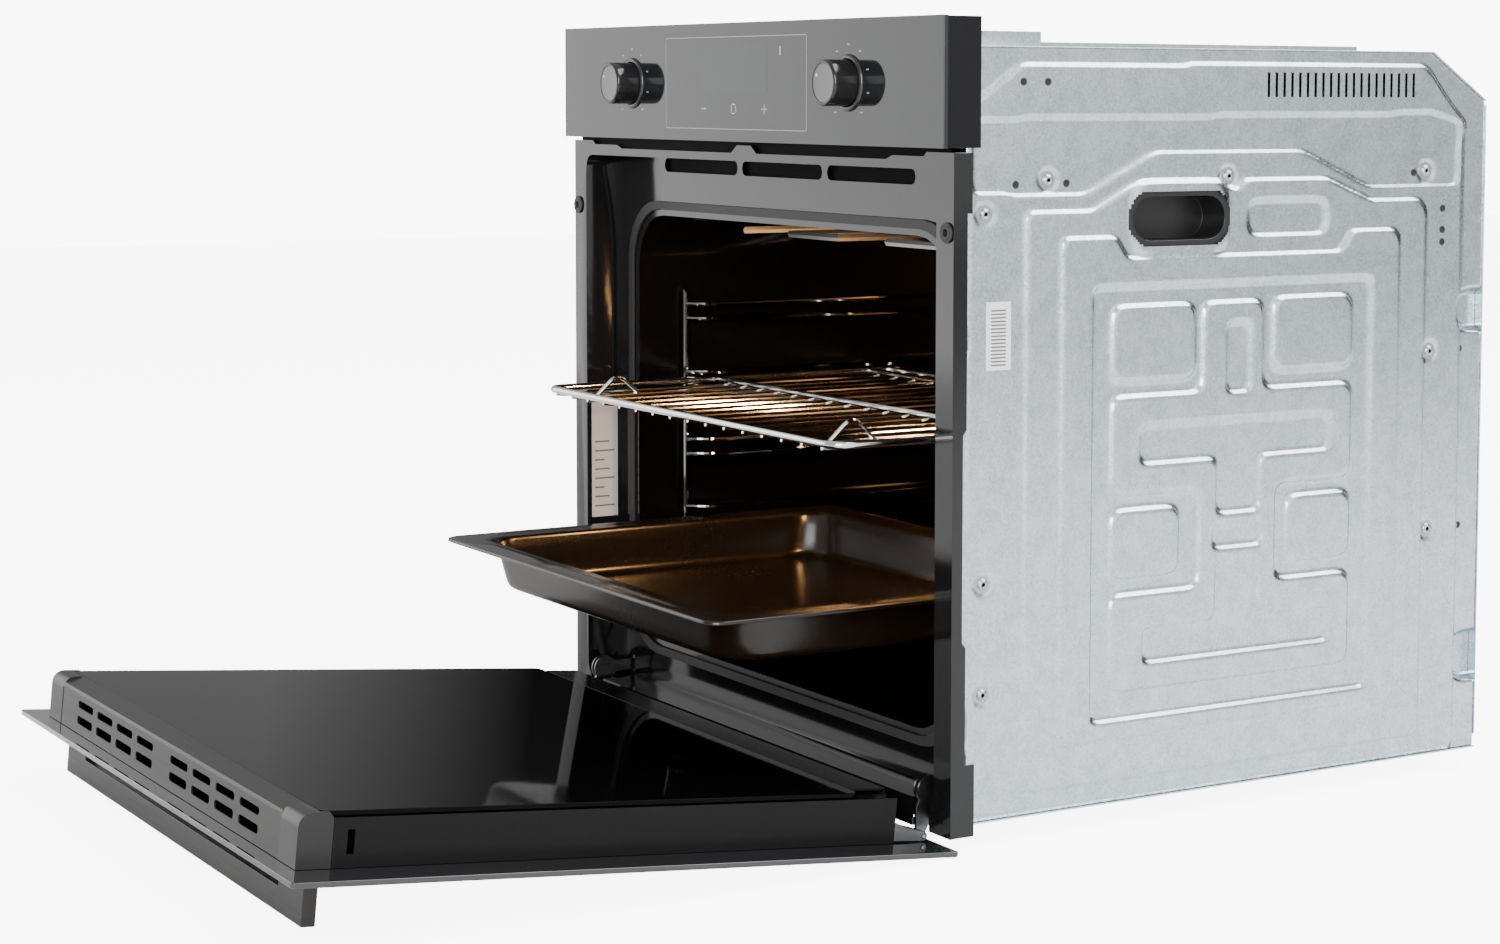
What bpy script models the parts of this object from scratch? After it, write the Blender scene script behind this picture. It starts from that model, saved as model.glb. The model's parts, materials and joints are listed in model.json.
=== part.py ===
"""Built-in wall oven, door open, with rack and tray part-way out.

Run with: blender --background --python part.py

All sizes below are in millimetres and become metres when a mesh is made.
+X is the right seen from the front, +Y runs into the cabinet and +Z is up.
y = 0 is the face of the enamel front frame and z = 0 is the shelf that the oven stands on.
The finished oven is moved so that the world origin is the middle of its flat underside.
"""

import math

import bmesh
import bpy
from mathutils import Matrix, Vector

MM = 0.001
GAP = 0.3
SHEET = 1.0

# Front: glass panels, frame and recess
FRONT_HALF = 297.5
GLASS_FRONT, GLASS_BACK = -9.0, -5.0
FRONT_BOTTOM = -5.0
DOOR_TOP = 493.4
PANEL_BOTTOM, PANEL_TOP = 497.4, 590.0
FRAME_HALF, FRAME_BOTTOM, FRAME_TOP = 297.0, 8.8, 494.5
RECESS_HALF, RECESS_BOTTOM, RECESS_TOP, RECESS_DEEP = 275.0, 30.0, 482.1, 34.0
MOUTH_HALF, MOUTH_BOTTOM, MOUTH_TOP, MOUTH_ROUND = 244.0, 67.5, 431.8, 45.0
BUSH_X, BUSH_Z = 289.0, 438.5

# Casing
SIDE_X, SIDE_FRONT, SIDE_REAR = 280.1, 10.0, 518.0
SIDE_BOTTOM, SIDE_TOP = 13.2, 568.0
CHAMFER_DOWN, CHAMFER_IN = 38.0, 57.0
BOX_REAR = 23.0
VENT_FIRST, VENT_STEP, VENTS = 295.6, 7.63, 20
CUP_Y, CUP_Z = (163.4, 257.3), (424.0, 465.0)
BACK_DEEP = 541.0
MIDDLE_Y = 265.0

# Cavity and what is in it
CAVITY_HALF, CAVITY_BOTTOM, CAVITY_TOP, CAVITY_REAR = 246.0, 62.0, 438.0, 455.0
CAVITY_MIDDLE = 245.0
FAN_COVER_Y = 418.0
LADDER_LEVELS = [352.5 - 59.0 * step for step in range(5)]
LADDER_FRONT, LADDER_REAR = 78.0, 404.0
LADDER_POST, LADDER_RUNG = 240.5, 226.4
PAIR_DROP = 12.6

# Door, given closed: it turns about the pivot to its open stop
PIVOT_Y, PIVOT_Z = -1.0, 4.5
OPEN_ANGLE = math.radians(84.45)
DOOR_HALF, DOOR_BACK, DOOR_LOW = 266.0, 31.5, 31.0
TRIM_TOP, TRIM_LOW, TRIM_HALF = 479.5, 464.4, 235.5
HINGE_X = 258.0

# Knobs
KNOB_X, KNOB_Z, KNOB_R = 171.0, 543.0, 17.0
KNOB_FRONT = -31.0

# Rack and tray, at rest part-way out; each lies on the lower wire of a pair of rungs
RACK_FRONT, RACK_Z, RACK_HALF, RACK_DEEP = -57.0, 286.4, 233.0, 343.0
TRAY_FRONT, TRAY_Z, TRAY_HALF, TRAY_DEEP = -156.0, 168.4, 230.0, 375.0

FINISHES = {
    "galvanised": ((0.62, 0.67, 0.69), 0.42, 1.0),
    "enamel": ((0.012, 0.012, 0.013), 0.12, 0.0),
    "black_glass": ((0.02, 0.02, 0.022), 0.05, 0.0),
    "door_glass": ((0.03, 0.03, 0.032), 0.05, 0.0),
    "black_plastic": ((0.025, 0.025, 0.027), 0.4, 0.0),
    "satin_metal": ((0.45, 0.43, 0.41), 0.32, 1.0),
    "chrome": ((0.8, 0.8, 0.8), 0.12, 1.0),
    "steel": ((0.55, 0.55, 0.56), 0.35, 1.0),
    "dark_rail": ((0.07, 0.07, 0.07), 0.35, 0.8),
    "seal": ((0.03, 0.03, 0.03), 0.7, 0.0),
    "wool": ((0.75, 0.72, 0.62), 0.95, 0.0),
    "bulb": ((1.0, 0.85, 0.6), 0.1, 0.0),
}


def clear_scene():
    """Removes every object that the file starts with."""
    for obj in list(bpy.data.objects):
        bpy.data.objects.remove(obj, do_unlink=True)


clear_scene()
parts = bpy.data.collections.new("wall_oven")
helpers = bpy.data.collections.new("helpers")
bpy.context.scene.collection.children.link(parts)
bpy.context.scene.collection.children.link(helpers)
oven = bpy.data.objects.new("oven", None)
oven.location = Vector((0.0, -MIDDLE_Y, 0.0)) * MM
parts.objects.link(oven)


def finish_for(name, slot):
    """A material for one sub-part, with the colour, roughness and metallic value of its slot."""
    colour, roughness, metallic = FINISHES[slot]
    material = bpy.data.materials.new(name + "_" + slot)
    material.use_nodes = True
    shader = material.node_tree.nodes["Principled BSDF"]
    shader.inputs["Base Color"].default_value = (*colour, 1.0)
    shader.inputs["Roughness"].default_value = roughness
    shader.inputs["Metallic"].default_value = metallic
    return material


# ---- shapes: each returns a mesh, in millimetres ----


def mesh_of(bm):
    """The work shape as a mesh; the work shape itself is freed."""
    mesh = bpy.data.meshes.new("shape")
    bm.to_mesh(mesh)
    bm.free()
    return mesh


def block(lo, hi):
    """A box between two corners."""
    bm = bmesh.new()
    bmesh.ops.create_cube(bm, size=1.0)
    for vert in bm.verts:
        vert.co = [hi[i] if vert.co[i] > 0 else lo[i] for i in range(3)]
    return mesh_of(bm)


AXIS_TURN = {
    "x": Matrix.Rotation(math.radians(90), 4, "Y"),
    "y": Matrix.Rotation(math.radians(-90), 4, "X"),
    "z": Matrix.Identity(4),
}


def rod(axis, centre, radius, length, sides=24, tip=None):
    """A cylinder, or a cone that ends in the radius tip, whose middle is at centre."""
    bm = bmesh.new()
    far = radius if tip is None else tip
    bmesh.ops.create_cone(bm, cap_ends=True, segments=sides, radius1=radius, radius2=far, depth=length)
    bmesh.ops.transform(bm, matrix=Matrix.Translation(centre) @ AXIS_TURN[axis], verts=bm.verts)
    return mesh_of(bm)


def arc(centre, radius, start, end, steps=5):
    """Points along an arc, from start to end in degrees."""
    angles = [math.radians(start + (end - start) * i / steps) for i in range(steps + 1)]
    return [(centre[0] + radius * math.cos(a), centre[1] + radius * math.sin(a)) for a in angles]


def rounded(lo, hi, radius, steps=5):
    """A rectangle's outline with round corners."""
    (u0, v0), (u1, v1) = lo, hi
    outline = arc((u1 - radius, v0 + radius), radius, -90, 0, steps)
    outline += arc((u1 - radius, v1 - radius), radius, 0, 90, steps)
    outline += arc((u0 + radius, v1 - radius), radius, 90, 180, steps)
    outline += arc((u0 + radius, v0 + radius), radius, 180, 270, steps)
    return outline


def hole(centre, radius, sides=12):
    """A round hole's outline."""
    return arc(centre, radius, 0, 360 * (sides - 1) / sides, sides - 1)


def rectangle(lo, hi):
    """A four-cornered outline from its low corner to its high one."""
    return [(lo[0], lo[1]), (hi[0], lo[1]), (hi[0], hi[1]), (lo[0], hi[1])]


def baked(curve_object):
    """The curve's evaluated mesh with its caps welded on; the curve is removed."""
    graph = bpy.context.evaluated_depsgraph_get()
    mesh = bpy.data.meshes.new_from_object(curve_object.evaluated_get(graph))
    bm = bmesh.new()
    bm.from_mesh(mesh)
    bmesh.ops.remove_doubles(bm, verts=bm.verts, dist=0.001)
    bmesh.ops.recalc_face_normals(bm, faces=bm.faces)
    bpy.data.objects.remove(curve_object, do_unlink=True)
    bpy.data.meshes.remove(mesh)
    return mesh_of(bm)


def plate(axis, low, high, outline, holes=()):
    """A flat sheet square to the axis, from low to high along it, with holes through it.

    Outlines are in (y, z) for the axis x, (x, z) for y and (x, y) for z.
    """
    if len(holes) > 1:
        punches = bmesh.new()
        for points in holes:
            punches.from_mesh(plate(axis, low - 1.0, high + 1.0, points))
        return combined([plate(axis, low, high, outline)], [mesh_of(punches)])
    curve = bpy.data.curves.new("outline", "CURVE")
    curve.dimensions = "2D"
    curve.fill_mode = "BOTH"
    curve.extrude = (high - low) / 2
    for points in (outline, *holes):
        spline = curve.splines.new("POLY")
        spline.points.add(len(points) - 1)
        for point, (u, v) in zip(spline.points, points):
            point.co = (u, v, 0.0, 1.0)
        spline.use_cyclic_u = True
    flat = bpy.data.objects.new("outline", curve)
    helpers.objects.link(flat)
    mesh = baked(flat)
    for vert in mesh.vertices:
        u, v, along = vert.co
        depth = high if along > 0 else low
        if axis == "x":
            vert.co = (depth, u, v)
        elif axis == "y":
            vert.co = (u, depth, v)
        else:
            vert.co = (u, v, depth)
    if axis == "y":
        mesh.flip_normals()
    return mesh


def wire(points, radius, closed=False, resolution=1):
    """A round wire along straight stretches between the points."""
    curve = bpy.data.curves.new("wire", "CURVE")
    curve.dimensions = "3D"
    curve.bevel_depth = radius
    curve.bevel_resolution = resolution
    curve.use_fill_caps = True
    spline = curve.splines.new("POLY")
    spline.points.add(len(points) - 1)
    for point, place in zip(spline.points, points):
        point.co = (*place, 1.0)
    spline.use_cyclic_u = closed
    line = bpy.data.objects.new("wire", curve)
    helpers.objects.link(line)
    return baked(line)


def ring(axis, centre, inner, outer, low, high, sides=24):
    """A flat ring, or a short tube, square to the axis."""
    return plate(axis, low, high, hole(centre, outer, sides), [hole(centre, inner, sides)])


def loft(loops, thickness):
    """A shell through loops of points, closed at the last loop, with its wall outside."""
    bm = bmesh.new()
    rows = [[bm.verts.new(point) for point in loop] for loop in loops]
    for upper, lower in zip(rows, rows[1:]):
        for i in range(len(upper)):
            j = (i + 1) % len(upper)
            bm.faces.new((upper[i], upper[j], lower[j], lower[i]))
    bm.faces.new(rows[-1])
    bmesh.ops.recalc_face_normals(bm, faces=bm.faces)
    mesh = mesh_of(bm)
    shell = bpy.data.objects.new("shell", mesh)
    helpers.objects.link(shell)
    wall = shell.modifiers.new("wall", "SOLIDIFY")
    wall.thickness = thickness
    wall.offset = -1.0
    graph = bpy.context.evaluated_depsgraph_get()
    graph.update()
    solid = bpy.data.meshes.new_from_object(shell.evaluated_get(graph))
    bpy.data.objects.remove(shell, do_unlink=True)
    return solid


# ---- nodes ----


def helper(mesh):
    """An object that cuts or joins and is not itself a node."""
    obj = bpy.data.objects.new("cutter", mesh)
    obj.hide_render = True
    obj.display_type = "WIRE"
    helpers.objects.link(obj)
    return obj


def combined(shapes, cuts=()):
    """One mesh: the union of the shapes, less the cuts."""
    if len(shapes) == 1 and not cuts:
        return shapes[0]
    body = helper(shapes[0])
    used = [body]
    for operation, meshes in (("UNION", shapes[1:]), ("DIFFERENCE", cuts)):
        for mesh in meshes:
            other = helper(mesh)
            used.append(other)
            step = body.modifiers.new(operation, "BOOLEAN")
            step.operation = operation
            step.solver = "EXACT"
            step.object = other
    graph = bpy.context.evaluated_depsgraph_get()
    graph.update()
    result = bpy.data.meshes.new_from_object(body.evaluated_get(graph))
    for obj in used:
        bpy.data.objects.remove(obj, do_unlink=True)
    return result


def node(name, slot, shapes, cuts=(), at=(0.0, 0.0, 0.0), parent=None, turn=(0.0, 0.0, 0.0)):
    """A finished sub-part, built in the oven's own millimetres; a parent carries it afterwards.

    at is the sub-part's origin, which a moving piece has on its joint's axis.
    """
    mesh = combined(shapes, cuts)
    mesh.name = name
    mesh.transform(Matrix.Scale(MM, 4) @ Matrix.Translation(-Vector(at)))
    mesh.materials.clear()
    mesh.materials.append(finish_for(name, slot))
    mesh.shade_smooth()
    mesh.set_sharp_from_angle(angle=math.radians(35))
    obj = bpy.data.objects.new(name, mesh)
    obj.parent = parent or oven
    origin = Vector(at) if parent is None else Vector(at) - Vector(parent["built_at"])
    obj.location = origin * MM
    obj.rotation_euler = turn
    parts.objects.link(obj)
    return obj


def span(side, near, far):
    """The lower and upper x of a stretch given on the right side."""
    return (near, far) if side > 0 else (-far, -near)


def side_block(side, near, far, low, high):
    """A block between two x of the right side, or their mirror, from (y, z) low to high."""
    x0, x1 = span(side, near, far)
    return block((x0, *low), (x1, *high))


SIDES = (("left", -1), ("right", 1))


def make_front_frame():
    """The enamel frame with its stepped mouth, its two bushes and the seal."""
    notch_low, notch_mid = FRAME_TOP - 6.1, FRAME_TOP - 3.2
    top = []
    for x0, x1 in ((214.0, 14.0), (-14.0, -214.0)):
        top += [(x0 + 3.0, notch_mid), (x0 - 6.0, notch_low), (x1 + 6.0, notch_low), (x1 - 3.0, FRAME_TOP)]
    top = [(262.0, FRAME_TOP), (258.0, notch_mid)] + top[:3] + [(11.0, FRAME_TOP), (-11.0, FRAME_TOP)]
    top += [(-20.0, notch_low), (-208.0, notch_low), (-217.0, notch_mid)]
    top += [(-258.0, notch_mid), (-262.0, FRAME_TOP)]
    outline = [(-FRAME_HALF, FRAME_BOTTOM), (FRAME_HALF, FRAME_BOTTOM), (FRAME_HALF, FRAME_TOP)]
    outline += top + [(-FRAME_HALF, FRAME_TOP)]
    recess_lo, recess_hi = (-RECESS_HALF, RECESS_BOTTOM), (RECESS_HALF, RECESS_TOP)
    opening = rounded(recess_lo, recess_hi, 10.0, 3)
    wrap_lo = (recess_lo[0] - 1.2, recess_lo[1] - 1.2)
    wrap_hi = (recess_hi[0] + 1.2, recess_hi[1] + 1.2)
    wrap = rounded(wrap_lo, wrap_hi, 11.2, 3)
    bushes = [hole((side * BUSH_X, BUSH_Z), 5.6, 10) for _, side in SIDES]
    mouth = rounded((-MOUTH_HALF, MOUTH_BOTTOM), (MOUTH_HALF, MOUTH_TOP), MOUTH_ROUND, 6)
    slots = [rounded((x, 468.9), (x + 125.0, 480.6), 5.0, 2) for x in (-195.0, -62.5, 70.0)]
    arms = [rectangle((side * HINGE_X - 6.0, 31.6), (side * HINGE_X + 6.0, 46.0)) for _, side in SIDES]
    shapes = [
        plate("y", 0.0, 1.2, outline),
        plate("y", 0.3, RECESS_DEEP + 1.0, wrap),
        block((-FRAME_HALF + 0.6, 0.4, FRAME_BOTTOM + 0.1), (FRAME_HALF - 0.6, 12.0, FRAME_BOTTOM + 1.3)),
    ]
    for _, side in SIDES:
        x0, x1 = span(side, FRAME_HALF - 1.2, FRAME_HALF)
        x0, x1 = (x0, x1 - 0.1) if side > 0 else (x0 + 0.1, x1)
        low, high = FRAME_BOTTOM + 0.2, FRAME_TOP - 0.2
        edge = [(0.5, low), (20.0, low), (20.0, 61.0), (12.0, 61.0), (12.0, 145.0), (9.0, 149.0)]
        edge += [(9.0, 296.0), (12.0, 300.0), (12.0, 452.0), (16.0, 452.0), (16.0, high), (0.5, high)]
        shapes.append(plate("x", x0, x1, edge))
    cuts = [plate("y", -1.0, RECESS_DEEP, opening)]
    cuts += [plate("y", RECESS_DEEP - 1.0, RECESS_DEEP + 3.0, shape) for shape in (mouth, *slots, *arms)]
    cuts += [plate("y", -1.0, 3.0, shape) for shape in bushes]
    cuts += [
        block((side * HINGE_X - 11.0, -1.0, 7.0), (side * HINGE_X + 11.0, 19.0, RECESS_BOTTOM + 1.0))
        for _, side in SIDES
    ]
    node("front_frame", "enamel", shapes, cuts)
    for label, side in SIDES:
        bush = [
            rod("y", (side * BUSH_X, 1.0, BUSH_Z), 5.2, 6.0, 12),
            rod("y", (side * BUSH_X, -1.0, BUSH_Z), 7.4, 1.4, 12),
        ]
        core = rod("y", (side * BUSH_X, 0.0, BUSH_Z), 3.0, 12.0, 12)
        node("frame_bush_" + label, "seal", bush, [core], at=(side * BUSH_X, 0.0, BUSH_Z))
    outer = rounded((-MOUTH_HALF - 14.0, MOUTH_BOTTOM - 12.0), (MOUTH_HALF + 14.0, MOUTH_TOP + 12.0), 50.0, 6)
    inner = rounded((-MOUTH_HALF - 6.0, MOUTH_BOTTOM - 5.0), (MOUTH_HALF + 6.0, MOUTH_TOP + 5.0), 47.0, 6)
    node("door_seal", "seal", [plate("y", DOOR_BACK + GAP, RECESS_DEEP - GAP, outer, [inner])])


def make_control_panel():
    """The glass panel, the box behind it and the display."""
    knobs = [(side * KNOB_X, KNOB_Z) for _, side in SIDES]
    outline = rectangle((-FRONT_HALF, PANEL_BOTTOM), (FRONT_HALF, PANEL_TOP))
    holes = [hole(centre, 19.0, 20) for centre in knobs]
    node("control_glass", "black_glass", [plate("y", GLASS_FRONT, GLASS_BACK, outline, holes)])
    front = GLASS_BACK + GAP
    half, low, high = FRONT_HALF - 1.0, PANEL_BOTTOM + GAP, PANEL_TOP - 0.5
    shell = block((-half, front, low), (half, BOX_REAR, high))
    hollow = block((-half + 2.0, front + 2.0, low + 2.0), (half - 2.0, BOX_REAR + 1.0, high - 2.0))
    cuts = [hollow, block((-58.0, front - 1.0, 520.0), (58.0, front + 3.0, 575.0))]
    cuts += [rod("y", (x, front, z), 18.6, 8.0, 20) for x, z in knobs]
    node("control_box", "black_plastic", [shell], cuts)
    board = block((-70.0, front + 2.0 + GAP, 506.0), (70.0, 2.0, 580.0))
    screen = block((-50.0, front + 0.6, 522.0), (50.0, 0.0, 573.0))
    node("display_module", "black_plastic", [board, screen])
    for label, side in SIDES:
        centre = (side * KNOB_X, KNOB_Z)
        flange = ring("y", centre, 17.5, 21.0, GLASS_FRONT - 2.2, GLASS_FRONT - GAP)
        sleeve = ring("y", centre, 17.5, 18.5, GLASS_FRONT - 1.0, GLASS_BACK)
        node("knob_collar_" + label, "chrome", [flange, sleeve], at=(centre[0], GLASS_FRONT, centre[1]))


def make_knobs():
    """Two push-and-turn knobs on their shafts, with their collars and switches."""
    names = {"left": "selector_switch", "right": "thermostat"}
    for label, side in SIDES:
        x = side * KNOB_X
        centre = (x, 0.0, KNOB_Z)
        body = rod("y", (x, (KNOB_FRONT - 6.0) / 2, KNOB_Z), KNOB_R, -6.0 - KNOB_FRONT, 28)
        sleeve = rod("y", (x, 0.0, KNOB_Z), 8.0, 16.0, 16)
        bore = rod("y", (x, -10.0, KNOB_Z), 3.35, 39.0, 12)
        node("knob_" + label, "black_plastic", [body, sleeve], [bore], at=(x, KNOB_FRONT, KNOB_Z))
        shaft = rod("y", (x, 12.0, KNOB_Z), 3.0, 37.0, 12)
        node("knob_shaft_" + label, "steel", [shaft], at=centre)
        case = block((x - 21.0, 31.0, KNOB_Z - 21.0), (x + 21.0, 57.0, KNOB_Z + 21.0))
        lugs = [block((x - 27.0, 52.0, KNOB_Z + z), (x + 27.0, 54.0, KNOB_Z + z + 6.0)) for z in (-15.0, 9.0)]
        node(names[label], "black_plastic", [case, *lugs], at=(x, 31.0, KNOB_Z))


def make_casing():
    """The zinc side sheets, hand holds, covers, base pan and terminal block."""
    slope_z, slope_y = SIDE_TOP - CHAMFER_DOWN, SIDE_REAR - CHAMFER_IN
    behind_box = BOX_REAR + 0.5
    outline = [(SIDE_FRONT, SIDE_BOTTOM), (SIDE_REAR, SIDE_BOTTOM), (SIDE_REAR, slope_z), (slope_y, SIDE_TOP)]
    outline += [(behind_box, SIDE_TOP), (behind_box, 494.0), (SIDE_FRONT, 494.0)]
    vent_rows = [VENT_FIRST + VENT_STEP * i for i in range(VENTS)]
    vents = [rectangle((y - 1.25, 533.6), (y + 1.25, 552.2)) for y in vent_rows]
    cup_lo, cup_hi = (CUP_Y[0] + 2.0, CUP_Z[0] + 2.0), (CUP_Y[1] - 2.0, CUP_Z[1] - 2.0)
    cup_hole = rounded(cup_lo, cup_hi, 18.0, 4)
    flange = 18.0
    for label, side in SIDES:
        x0, x1 = span(side, SIDE_X - SHEET, SIDE_X)
        f0, f1 = span(side, SIDE_X - flange, SIDE_X - 0.2)
        o0, o1 = span(side, SIDE_X - 0.2, FRAME_HALF - 1.6)
        slope = [(slope_y, SIDE_TOP), (SIDE_REAR, slope_z)]
        slope += [(SIDE_REAR, slope_z - 1.2), (slope_y, SIDE_TOP - 1.2)]
        shapes = [
            plate("x", x0, x1, outline, [cup_hole, *vents]),
            block((f0, SIDE_FRONT + 4.0, SIDE_BOTTOM), (f1, SIDE_REAR - 0.4, SIDE_BOTTOM + SHEET)),
            block((f0, SIDE_REAR - SHEET, SIDE_BOTTOM + 0.4), (f1, SIDE_REAR, slope_z)),
            block((f0, behind_box, SIDE_TOP - SHEET), (f1, slope_y, SIDE_TOP)),
            plate("x", f0, f1, slope),
            block((o0, SIDE_FRONT, SIDE_BOTTOM), (o1, SIDE_FRONT + SHEET, 490.0)),
        ]
        node("side_panel_" + label, "galvanised", shapes)
        rim = plate("x", *span(side, SIDE_X + GAP, SIDE_X + 1.6), rounded(
            (CUP_Y[0] - 3.0, CUP_Z[0] - 3.0), (CUP_Y[1] + 3.0, CUP_Z[1] + 3.0), 22.0, 4))
        tub = plate("x", *span(side, SIDE_X - 27.0, SIDE_X + 1.0), rounded(
            (cup_lo[0] + 0.4, cup_lo[1] + 0.4), (cup_hi[0] - 0.4, cup_hi[1] - 0.4), 17.6, 4))
        hollow = plate("x", *span(side, SIDE_X - 25.0, SIDE_X + 3.0), rounded(
            (cup_lo[0] + 2.4, cup_lo[1] + 2.4), (cup_hi[0] - 2.4, cup_hi[1] - 2.4), 15.6, 4))
        node("hand_hold_" + label, "black_plastic", [rim, tub], [hollow])

    top_low = SIDE_TOP + GAP
    wide = SIDE_X - 1.0
    bend = [(behind_box, top_low), (slope_y + 0.2, top_low), (SIDE_REAR - 0.4, slope_z + 0.7)]
    bend += [(SIDE_REAR - 0.4, slope_z + 2.0), (slope_y + 0.6, top_low + SHEET)]
    bend.append((behind_box, top_low + SHEET))
    lid = plate("x", -wide, wide, bend)
    hump = block((-262.0, 28.0, top_low + 0.2), (262.0, 98.0, top_low + 12.0))
    strip = block((-236.0, 97.0, top_low + 0.2), (236.0, 420.0, top_low + 5.0))
    under = [
        block((-261.0, 29.0, top_low - 1.0), (261.0, 97.0, top_low + 11.0)),
        block((-235.0, 96.0, top_low - 1.0), (235.0, 419.0, top_low + 4.0)),
    ]
    node("top_cover", "galvanised", [lid, hump, strip], under)

    back = block((-255.0, SIDE_REAR + GAP, 30.0), (255.0, BACK_DEEP, 505.0))
    ears = block((-278.0, SIDE_REAR + GAP, 22.0), (278.0, SIDE_REAR + GAP + SHEET, slope_z - 2.0))
    inside = block((-254.0, SIDE_REAR - 1.0, 31.0), (254.0, BACK_DEEP - SHEET, 504.0))
    node("back_cover", "galvanised", [ears, back], [inside])

    pan_top = SIDE_BOTTOM - GAP
    sheet = block((-wide, 14.0, pan_top - SHEET), (wide, SIDE_REAR, pan_top))
    pans = [rounded((-238.0, y0), (238.0, y1), 60.0, 5) for y0, y1 in ((34.0, 279.0), (303.0, 498.0))]
    wells = [rounded((-237.0, y0), (237.0, y1), 59.0, 5) for y0, y1 in ((35.0, 278.0), (304.0, 497.0))]
    shapes = [sheet] + [plate("z", 0.0, pan_top - 0.2, outline) for outline in pans]
    cuts = [plate("z", SHEET, pan_top + 1.0, outline) for outline in wells]
    node("base_pan", "galvanised", shapes, cuts)
    node("terminal_block", "black_plastic", [
        block((-130.0, SIDE_REAR + 2.0, 508.0), (-70.0, BACK_DEEP - 4.0, 527.0)),
        block((-120.0, BACK_DEEP - 5.0, 511.0), (-80.0, BACK_DEEP, 524.0)),
    ])


def make_cavity():
    """The enamel cavity, its wool jacket, the side ladders and the fan cover."""
    lo, hi = (-CAVITY_HALF, CAVITY_BOTTOM), (CAVITY_HALF, CAVITY_TOP)
    wall_front = RECESS_DEEP + 1.2 + GAP
    inner = rounded(lo, hi, 47.0, 6)
    outer = rounded((lo[0] - 1.0, lo[1] - 1.0), (hi[0] + 1.0, hi[1] + 1.0), 48.0, 6)
    flange = rounded((lo[0] - 14.0, lo[1] - 9.0), (hi[0] + 14.0, hi[1] + 12.0), 50.0, 6)
    shaft = hole((0.0, CAVITY_MIDDLE), 6.0, 12)
    lamp = hole((-185.0, 390.0), 20.0, 16)
    leads = [hole((x, CAVITY_MIDDLE - 96.0), 5.0, 8) for x in (-9.0, 9.0)]
    shapes = [
        plate("y", wall_front, CAVITY_REAR + 1.0, outer, [inner]),
        plate("y", wall_front, wall_front + 1.0, flange, [inner]),
        plate("y", CAVITY_REAR, CAVITY_REAR + 1.0, outer, [shaft, lamp, *leads]),
    ]
    node("cavity_shell", "enamel", shapes)

    blanket_in = rounded((-248.0, 47.0), (248.0, 440.0), 48.0, 6)
    blanket_out = rounded((-270.0, 30.0), (270.0, 458.0), 60.0, 6)
    motor_hole = hole((0.0, CAVITY_MIDDLE), 106.0, 20)
    lamp_hole = hole((-185.0, 390.0), 26.0, 12)
    blanket_back = rounded((-262.0, 36.0), (262.0, 452.0), 54.0, 6)
    shapes = [
        plate("y", 82.0, 476.0, blanket_out, [blanket_in]),
        plate("y", CAVITY_REAR + 2.0, 475.8, blanket_back, [motor_hole, lamp_hole]),
    ]
    cuts = [side_block(side, 251.0, 272.0, (155.0, 410.0), (266.0, 470.0)) for _, side in SIDES]
    node("insulation", "wool", shapes, cuts)

    for label, side in SIDES:
        x_post, x_rung, x_wall = side * LADDER_POST, side * LADDER_RUNG, side * (CAVITY_HALF - GAP)
        low, high = LADDER_LEVELS[-1] - PAIR_DROP - 4.0, LADDER_LEVELS[0] + 18.0
        wires = []
        for y in (LADDER_FRONT, LADDER_REAR):
            wires.append(wire([(x_post, y, low), (x_post, y, high)], 2.4))
            for z in (low + 14.0, high - 6.0):
                foot = ((x_post + x_wall) / 2, y, z)
                wires.append(rod("x", foot, 3.0, CAVITY_HALF - GAP - LADDER_POST, 10))
        for level in LADDER_LEVELS:
            for z in (level, level - PAIR_DROP):
                run = [(x_post, LADDER_FRONT, z), (x_rung, LADDER_FRONT + 14.0, z)]
                run += [(x_rung, LADDER_REAR - 14.0, z), (x_post, LADDER_REAR, z)]
                wires.append(wire(run, 2.2, resolution=0))
        node("ladder_" + label, "chrome", wires)

    shell_out = rounded((-150.0, 95.0), (150.0, 395.0), 30.0, 3)
    shell_in = rounded((-149.0, 96.0), (149.0, 394.0), 29.0, 3)
    holes = [
        hole((46.0 * math.cos(a), CAVITY_MIDDLE + 46.0 * math.sin(a)), 9.0, 8)
        for a in (2 * math.pi * i / 8 for i in range(8))
    ]
    holes.append(hole((0.0, CAVITY_MIDDLE), 9.0, 8))
    for _, side in SIDES:
        for z in (130.0, 300.0):
            holes.append(rectangle((side * 128.0 - 6.0, z), (side * 128.0 + 6.0, z + 60.0)))
    shapes = [
        plate("y", FAN_COVER_Y, FAN_COVER_Y + 1.0, shell_out, holes),
        plate("y", FAN_COVER_Y, CAVITY_REAR - GAP, shell_out, [shell_in]),
    ]
    node("fan_cover", "enamel", shapes)


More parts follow.
